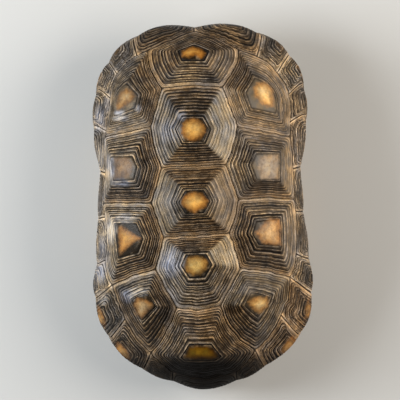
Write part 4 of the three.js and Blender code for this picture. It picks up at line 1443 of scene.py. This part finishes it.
hollow = belly_height(plan([[199, 213]]))[0]
print("the hollow of the belly is", round(float(hollow), 1), "mm high")

# %% [markdown]
# The belly plates grow from their middles as well, but they rub on the ground, so their rings
# are shallow and the horn is a clearer yellow, clouded with brown about each middle.

# %% Belly horn
AMBER_HORN = (0.30, 0.17, 0.05, 1)
YELLOW_HORN = (0.50, 0.33, 0.13, 1)
VEIN_HORN = (0.20, 0.11, 0.04, 1)
CLOUD_HORN = (0.045, 0.025, 0.012, 1)
BELLY_GROOVE = (0.03, 0.017, 0.008, 1)

belly_horn = Finish("belly horn", IOR=1.5)
blend, between = belly_horn.blend, belly_horn.between
worn_ring, worn_groove, cloud = belly_horn.marks("ring groove cloud")
haze = belly_horn.grain(34.0, 4.0, 0.6)
veins = belly_horn.grain(50.0, 3.0, w=worn_ring * 2.5)
scratches = belly_horn.grain(600.0, 4.0, 0.7)
belly = blend(between(haze, 0.3, 0.7), AMBER_HORN, YELLOW_HORN)
belly = blend(between(veins, 0.45, 0.65, 0.0, 0.6), belly, VEIN_HORN)
belly = blend(between(cloud + (haze - 0.5) * 0.9, 0.3, 0.9, 0.0, 0.85), belly, CLOUD_HORN)
belly = blend(worn_groove, belly, BELLY_GROOVE)
relief = belly_horn.bump(veins * 0.5 + scratches * 0.5, 0.0004)
belly_horn.show(Base_Color=belly, Roughness=0.34 + scratches * 0.2, Normal=relief)
print("belly horn has", len(belly_horn.tree.nodes), "nodes")

# %% [markdown]
# Eight pairs of plates cover the underside. A plate is its heart and the runs round it, each
# a seam that it shares with a neighbour or a stretch of the outline, so no two plates can
# gape or overlap.

# %% Plates of the belly on the sheet
BELLY_PLATES = {  # the heart on the sheet, and the runs round the plate
    "gular": (
        (209, 60), "edge front gular_corner", "seam gular_corner gular_middle",
        "seam gular_middle front",
    ),
    "humeral": (
        (228, 104), "seam gular_middle gular_corner", "edge gular_corner axilla",
        "seam axilla humeral_bend humeral_middle", "seam humeral_middle gular_middle",
    ),
    "axillary": ((292, 132), "edge axilla axillary_tip", "seam axillary_tip axilla"),
    "pectoral": (
        (258, 144), "seam humeral_middle humeral_bend axilla", "seam axilla axillary_tip",
        "edge axillary_tip bridge", "seam bridge pectoral_bend pectoral_middle",
        "seam pectoral_middle humeral_middle",
    ),
    "abdominal": (
        (243, 208), "seam pectoral_middle pectoral_bend bridge", "edge bridge inguinal_tip",
        "seam inguinal_tip groin", "seam groin abdominal_bend abdominal_middle",
        "seam abdominal_middle pectoral_middle",
    ),
    "inguinal": ((295, 262), "edge inguinal_tip groin", "seam groin inguinal_tip"),
    "femoral": (
        (230, 300), "seam abdominal_middle abdominal_bend groin", "edge groin anal_corner",
        "seam anal_corner femoral_bend femoral_middle", "seam femoral_middle abdominal_middle",
    ),
    "anal": (
        (218, 341), "seam femoral_middle femoral_bend anal_corner",
        "edge anal_corner anal_notch", "seam anal_notch femoral_middle",
    ),
}


def belly_run(side, run):
    """The plan line of one run round a plate."""
    kind, *keys = run.split()
    corners = [belly_corner(side, key)[:2] for key in keys]
    if kind == "seam":
        return curve(corners, 24)
    line = edge_lines[side][:, :2]
    first, last = (np.argmin(np.linalg.norm(line - corner, axis=1)) for corner in corners)
    return line[first : last + 1]


print(2 * len(BELLY_PLATES), "belly plates are drawn")

# %% Plates of the belly
BELLY_STEP = 2.2  # mm between spokes
BELLY_GAP = 1.5 * SEAM_GAP
BELLY_CORE = 0.2
BELLY_RING_WIDTH = 5
BELLY_SKIN = 0.1  # mm under which the ground has worn every crest
BELLY_ROLL = 1.4
PLASTRON_KERATIN = 1.6


def belly_plate(name, side, heart_place, runs, seed):
    """One plate of the belly: rings about its heart, a wall and a plain back."""
    dice = np.random.default_rng(seed)
    x, y = heart_place
    heart = plan([x if side == "right" else MIRROR - x, y])
    border = np.concatenate([belly_run(side, run)[:-1] for run in runs])
    border = np.concatenate([border, border[:1]])
    spokes = round(walk(border)[-1] / BELLY_STEP)
    border = resample(border, spokes)
    reach = np.linalg.norm(border - heart, axis=1)
    border += (heart - border) * (BELLY_GAP / reach)[:, None]
    rings = Rings(dice, int(np.clip(reach.mean() / BELLY_RING_WIDTH, 3, 8)))
    t = np.append([-0.65, -0.3], rings.levels()[::-2][::-1])[:, None]
    way_out = np.where(t < 0, BELLY_CORE * (1 + t), BELLY_CORE + (1 - BELLY_CORE) * t)
    web = heart + (border - heart) * way_out[..., None]
    t = np.repeat(t, spokes, 1)
    wave = wander(dice, np.arange(spokes) / spokes, t * 2)
    relief, marks = rings.look_up(t, np.clip(0.35 + 0.25 * wave, 0.05, 0.8))
    roll = ease(1 - np.clip(1 - t, 0, 2) * (1 - BELLY_CORE) * reach / BELLY_ROLL)
    depth = np.maximum(BELLY_SKIN - relief, 0) * (1 - roll) + 0.6 * roll
    back = np.stack([heart + (border - heart) * share for share in (1.0, 0.8, 0.5)])
    loops = np.concatenate([belly_point(web, depth), belly_point(back, PLASTRON_KERATIN)])
    low, top = (belly_point(heart[None], level) for level in (BELLY_SKIN, PLASTRON_KERATIN))
    points, faces = closed_skin(low, loops, top)
    marks["groove"] = np.maximum(marks["groove"], 0.8 * roll)
    marks["cloud"] = ease(1 - t * 1.4)
    rest = {"cloud": 1.0}
    hidden = len(back) * spokes + 1
    marks = {key: over_skin(part, hidden, rest.get(key, 0.0)) for key, part in marks.items()}
    piece, node = f"{name}_scute_{side}", f"{name}_{side}"
    return build_piece(piece, node, points, faces, marks, belly_horn)


belly_plates = []
for i, (name, (heart_place, *runs)) in enumerate(BELLY_PLATES.items()):
    for j, side in enumerate(SIDES):
        belly_plates.append(belly_plate(name, side, heart_place, runs, 500 + 10 * i + j))
count_triangles("plates of the belly", belly_plates)

# %% [markdown]
# Under the horn lies bone. Only its inner face shows, through the openings for the head, limbs
# and tail: dry and cream, with fine pores, low ribs running down the sides and wavy sutures.

# %% Bone
DULL_BONE = (0.52, 0.41, 0.26, 1)
CREAM_BONE = (0.70, 0.61, 0.45, 1)
PORE_BONE = (0.30, 0.21, 0.12, 1)
SUTURE_BONE = (0.22, 0.15, 0.09, 1)

bone = Finish("bone", Roughness=0.7, IOR=1.5)
blend, between = bone.blend, bone.between
fog = bone.grain(30.0, 5.0, 0.6)
pores = bone.grain(900.0, 3.0, 0.7)
(suture,) = bone.marks("suture")
dry = blend(between(fog, 0.3, 0.7), DULL_BONE, CREAM_BONE)
dry = blend(between(pores, 0.6, 0.75, 0.0, 0.5), dry, PORE_BONE)
dry = blend(suture, dry, SUTURE_BONE)
bone.show(Base_Color=dry, Normal=bone.bump(pores * 0.6 + fog * 0.4, 0.0004))
print("bone has", len(bone.tree.nodes), "nodes")

# %% [markdown]
# The carapace is a single fused bone. Two sheets of points follow the dome at two depths under
# the horn and are joined at the lower edge. A Solidify modifier would thicken one sheet as
# well, but then the inside could not have ribs of its own.

# %% The carapace bone
BONE_COLUMNS, BONE_ROWS = 240, 48
BONE_LOW, BONE_SPAN = 1.99, 1.95  # in g: the lowest row, and from there up to the highest
BONE_CLEARANCE = 0.4  # more room inside, where the ribs rise and fall
RIB_HEIGHT = 0.35
SUTURE_DARK = 0.7


def rim_bulge(s):
    """How far the rim stands out past the plain dome."""
    station = np.mod(s, RIM_COUNT)
    side = np.minimum(station, RIM_COUNT - station)
    last = len(MARGINALS)
    bulges = np.array([row[1] for row in MARGINALS] + [0])
    bulge = bulges[np.minimum(side.astype(int), last)] * np.sin(math.pi * np.mod(side, 1))
    tail_bulge = SUPRACAUDAL_BULGE * np.cos(math.pi / 2 * (TAIL_S - side))
    return np.where(side > last, tail_bulge, bulge)


def bone_face(depth, grid_s, grid_g):
    """The bone's outer or inner face, at a depth under the horn's surface."""
    points = dome(grid_s, grid_g)
    swell = rim_bulge(grid_s) * np.clip(grid_g - 1, 0, 1) ** 1.5
    points[..., :2] += unit(points[..., :2] - HEART) * swell[..., None]
    normal = dome_normal(grid_s, np.maximum(grid_g, NEAR_CROWN))
    return points - normal * np.asarray(depth)[..., None]


def build_bone(name, node, sheets, ends, sutures):
    """A bone between two sheets of points, with rows from the middle out, and their ends."""
    front, back = sheets
    points, faces = closed_skin(ends[0], np.concatenate([front, back[::-1]]), ends[1])
    marks = {"suture": np.concatenate([[0], sutures.ravel(), sutures[::-1].ravel(), [0]])}
    return build_piece(name, node, points, faces, marks, bone)


s = np.arange(BONE_COLUMNS) * RIM_COUNT / BONE_COLUMNS
g = BONE_LOW - BONE_SPAN * np.linspace(1, 0, BONE_ROWS) ** 0.9
grid_s, grid_g = np.meshgrid(s, g)
ribs = RIB_HEIGHT * np.cos(math.tau * grid_s)
ribs = ribs * ease((grid_g - 0.25) / 0.3) * ease((1.4 - grid_g) / 0.4)
outer_depth, inner_depth = KERATIN + JOIN_GAP, KERATIN + JOIN_GAP + BONE
outer_face = bone_face(outer_depth, grid_s, grid_g)
inner_face = bone_face(inner_depth + BONE_CLEARANCE + ribs, grid_s, grid_g)
zigzag = 0.05 * np.sin(grid_g * 60) + 0.03 * np.sin(grid_g * 145)
across = np.abs(np.mod(grid_s + 0.5 + zigzag, 1) - 0.5) * 42
lengthwise = np.abs(grid_g - 0.3 - 0.012 * np.sin(grid_s * 40)) * 120
sutures = np.clip(1 - np.minimum(across, lengthwise), 0, 1) * SUTURE_DARK
ends = (crown - [0, 0, outer_depth], crown - [0, 0, inner_depth])
name, node = "carapace_bone_shell", "carapace_bone"
carapace_bone = build_bone(name, node, (outer_face, inner_face), ends, sutures)
count_triangles("carapace bone", [carapace_bone])

# %% [markdown]
# The plastron is the other bone, and comes apart from the first at the bridges. It is made in
# the same way, over the underside instead of the dome.

# %% The plastron bone
PLASTRON_BONE = 4.0
PLASTRON_GAP = 0.5
PLASTRON_COLUMNS, PLASTRON_ROWS = 240, 30
PLASTRON_INSET = 0.998
MIDDLE_SUTURE_X = -2.9

turns = np.linspace(-math.pi, math.pi, PLASTRON_COLUMNS, endpoint=False)
way = np.stack([np.cos(turns), np.sin(turns)], 1) * at_edge(turns, EDGE_RADIUS)[:, None]
shares = np.linspace(0, 1, PLASTRON_ROWS + 1)[1:] ** 0.8
web = PLASTRON_HEART + way * (shares * PLASTRON_INSET)[:, None, None]
low_depth = PLASTRON_KERATIN + PLASTRON_GAP
depths = (low_depth, low_depth + PLASTRON_BONE)
sheets = [belly_point(web, depth) for depth in depths]
ends = [belly_point(PLASTRON_HEART[None], depth) for depth in depths]
wavy = web[..., 0] - MIDDLE_SUTURE_X + 0.5 * np.sin(web[..., 1] * 0.9)
sutures = np.clip(1 - np.abs(wavy) / 0.8, 0, 1) * SUTURE_DARK
plastron_bone = build_bone("plastron_bone_plate", "plastron_bone", sheets, ends, sutures)
count_triangles("plastron bone", [plastron_bone])

# %% [markdown]
# The shell stands on a plain pale floor. Two large lamps, one on each side, light it softly:
# a cool one on the left and a warmer one on the right, which bring out the relief. A small
# hard lamp would show it too, but with black shadows.

# %% Floor and light
FLOOR_REACH = 15
FLOOR_PALE = (0.52, 0.515, 0.50, 1)
LIT_HEIGHT = 0.06  # the lamps face a point this far up, in metres
AIR_COLOUR = (0.9, 0.95, 1.0, 1)
AIR_STRENGTH = 0.05

floor_mesh = bpy.data.meshes.new("floor")
square = [(-1, -1, 0), (1, -1, 0), (1, 1, 0), (-1, 1, 0)]
floor_mesh.from_pydata([np.array(corner) * FLOOR_REACH for corner in square], [], [range(4)])
floor = bpy.data.objects.new("floor", floor_mesh)
bpy.context.scene.collection.objects.link(floor)
paper = Finish("paper", Roughness=0.9, Base_Color=FLOOR_PALE)
floor_mesh.materials.append(paper.material)


def soft_box(name, place, size, power, colour):
    """A large soft lamp that faces the shell."""
    lamp = bpy.data.lights.new(name, "AREA")
    lamp.shape = "RECTANGLE"
    lamp.size, lamp.size_y = size
    lamp.energy = power
    lamp.color = colour
    box = bpy.data.objects.new(name, lamp)
    bpy.context.scene.collection.objects.link(box)
    box.location = place
    towards = -box.location
    towards.z += LIT_HEIGHT
    box.rotation_mode = "QUATERNION"
    box.rotation_quaternion = towards.to_track_quat("-Z", "Y")
    return box


lamps = [
    soft_box("left window", (-1.1, 0.12, 0.7), (0.6, 0.9), 28, (0.93, 0.97, 1.0)),
    soft_box("right window", (1.1, 0.2, 0.8), (0.9, 1.2), 24, (1.0, 0.94, 0.86)),
]
bpy.context.scene.view_settings.view_transform = "Standard"
world = bpy.data.worlds.new("studio")
world.use_nodes = True
air = world.node_tree.nodes["Background"]
air.inputs["Color"].default_value = AIR_COLOUR
air.inputs["Strength"].default_value = AIR_STRENGTH
bpy.context.scene.world = world
print(len(lamps), "lamps")

# %% [markdown]
# The camera looks straight down from far above, with a long lens, so that the flanks stay
# out of sight as they do in a plan.

# %% Camera
CAMERA_DISTANCE = 8.0
FRAME_WIDTH = 400 * UNIT * METRE
WIDEST_LEVEL = 0.05  # how high the outline lies, in metres
SENSOR_WIDTH = 36
CLIP_END = 50

look_at = plan([200, 200]) * METRE
lens = bpy.data.cameras.new("camera")
lens.sensor_width = SENSOR_WIDTH
lens.lens = SENSOR_WIDTH * (CAMERA_DISTANCE - WIDEST_LEVEL) / FRAME_WIDTH
lens.clip_end = CLIP_END
camera = bpy.data.objects.new("camera", lens)
bpy.context.scene.collection.objects.link(camera)
camera.location = (look_at[0], look_at[1], CAMERA_DISTANCE)
bpy.context.scene.camera = camera
print("lens", round(lens.lens), "mm")

# %% [markdown]
# The detailed shell has to keep the size that the CAD model gives it.
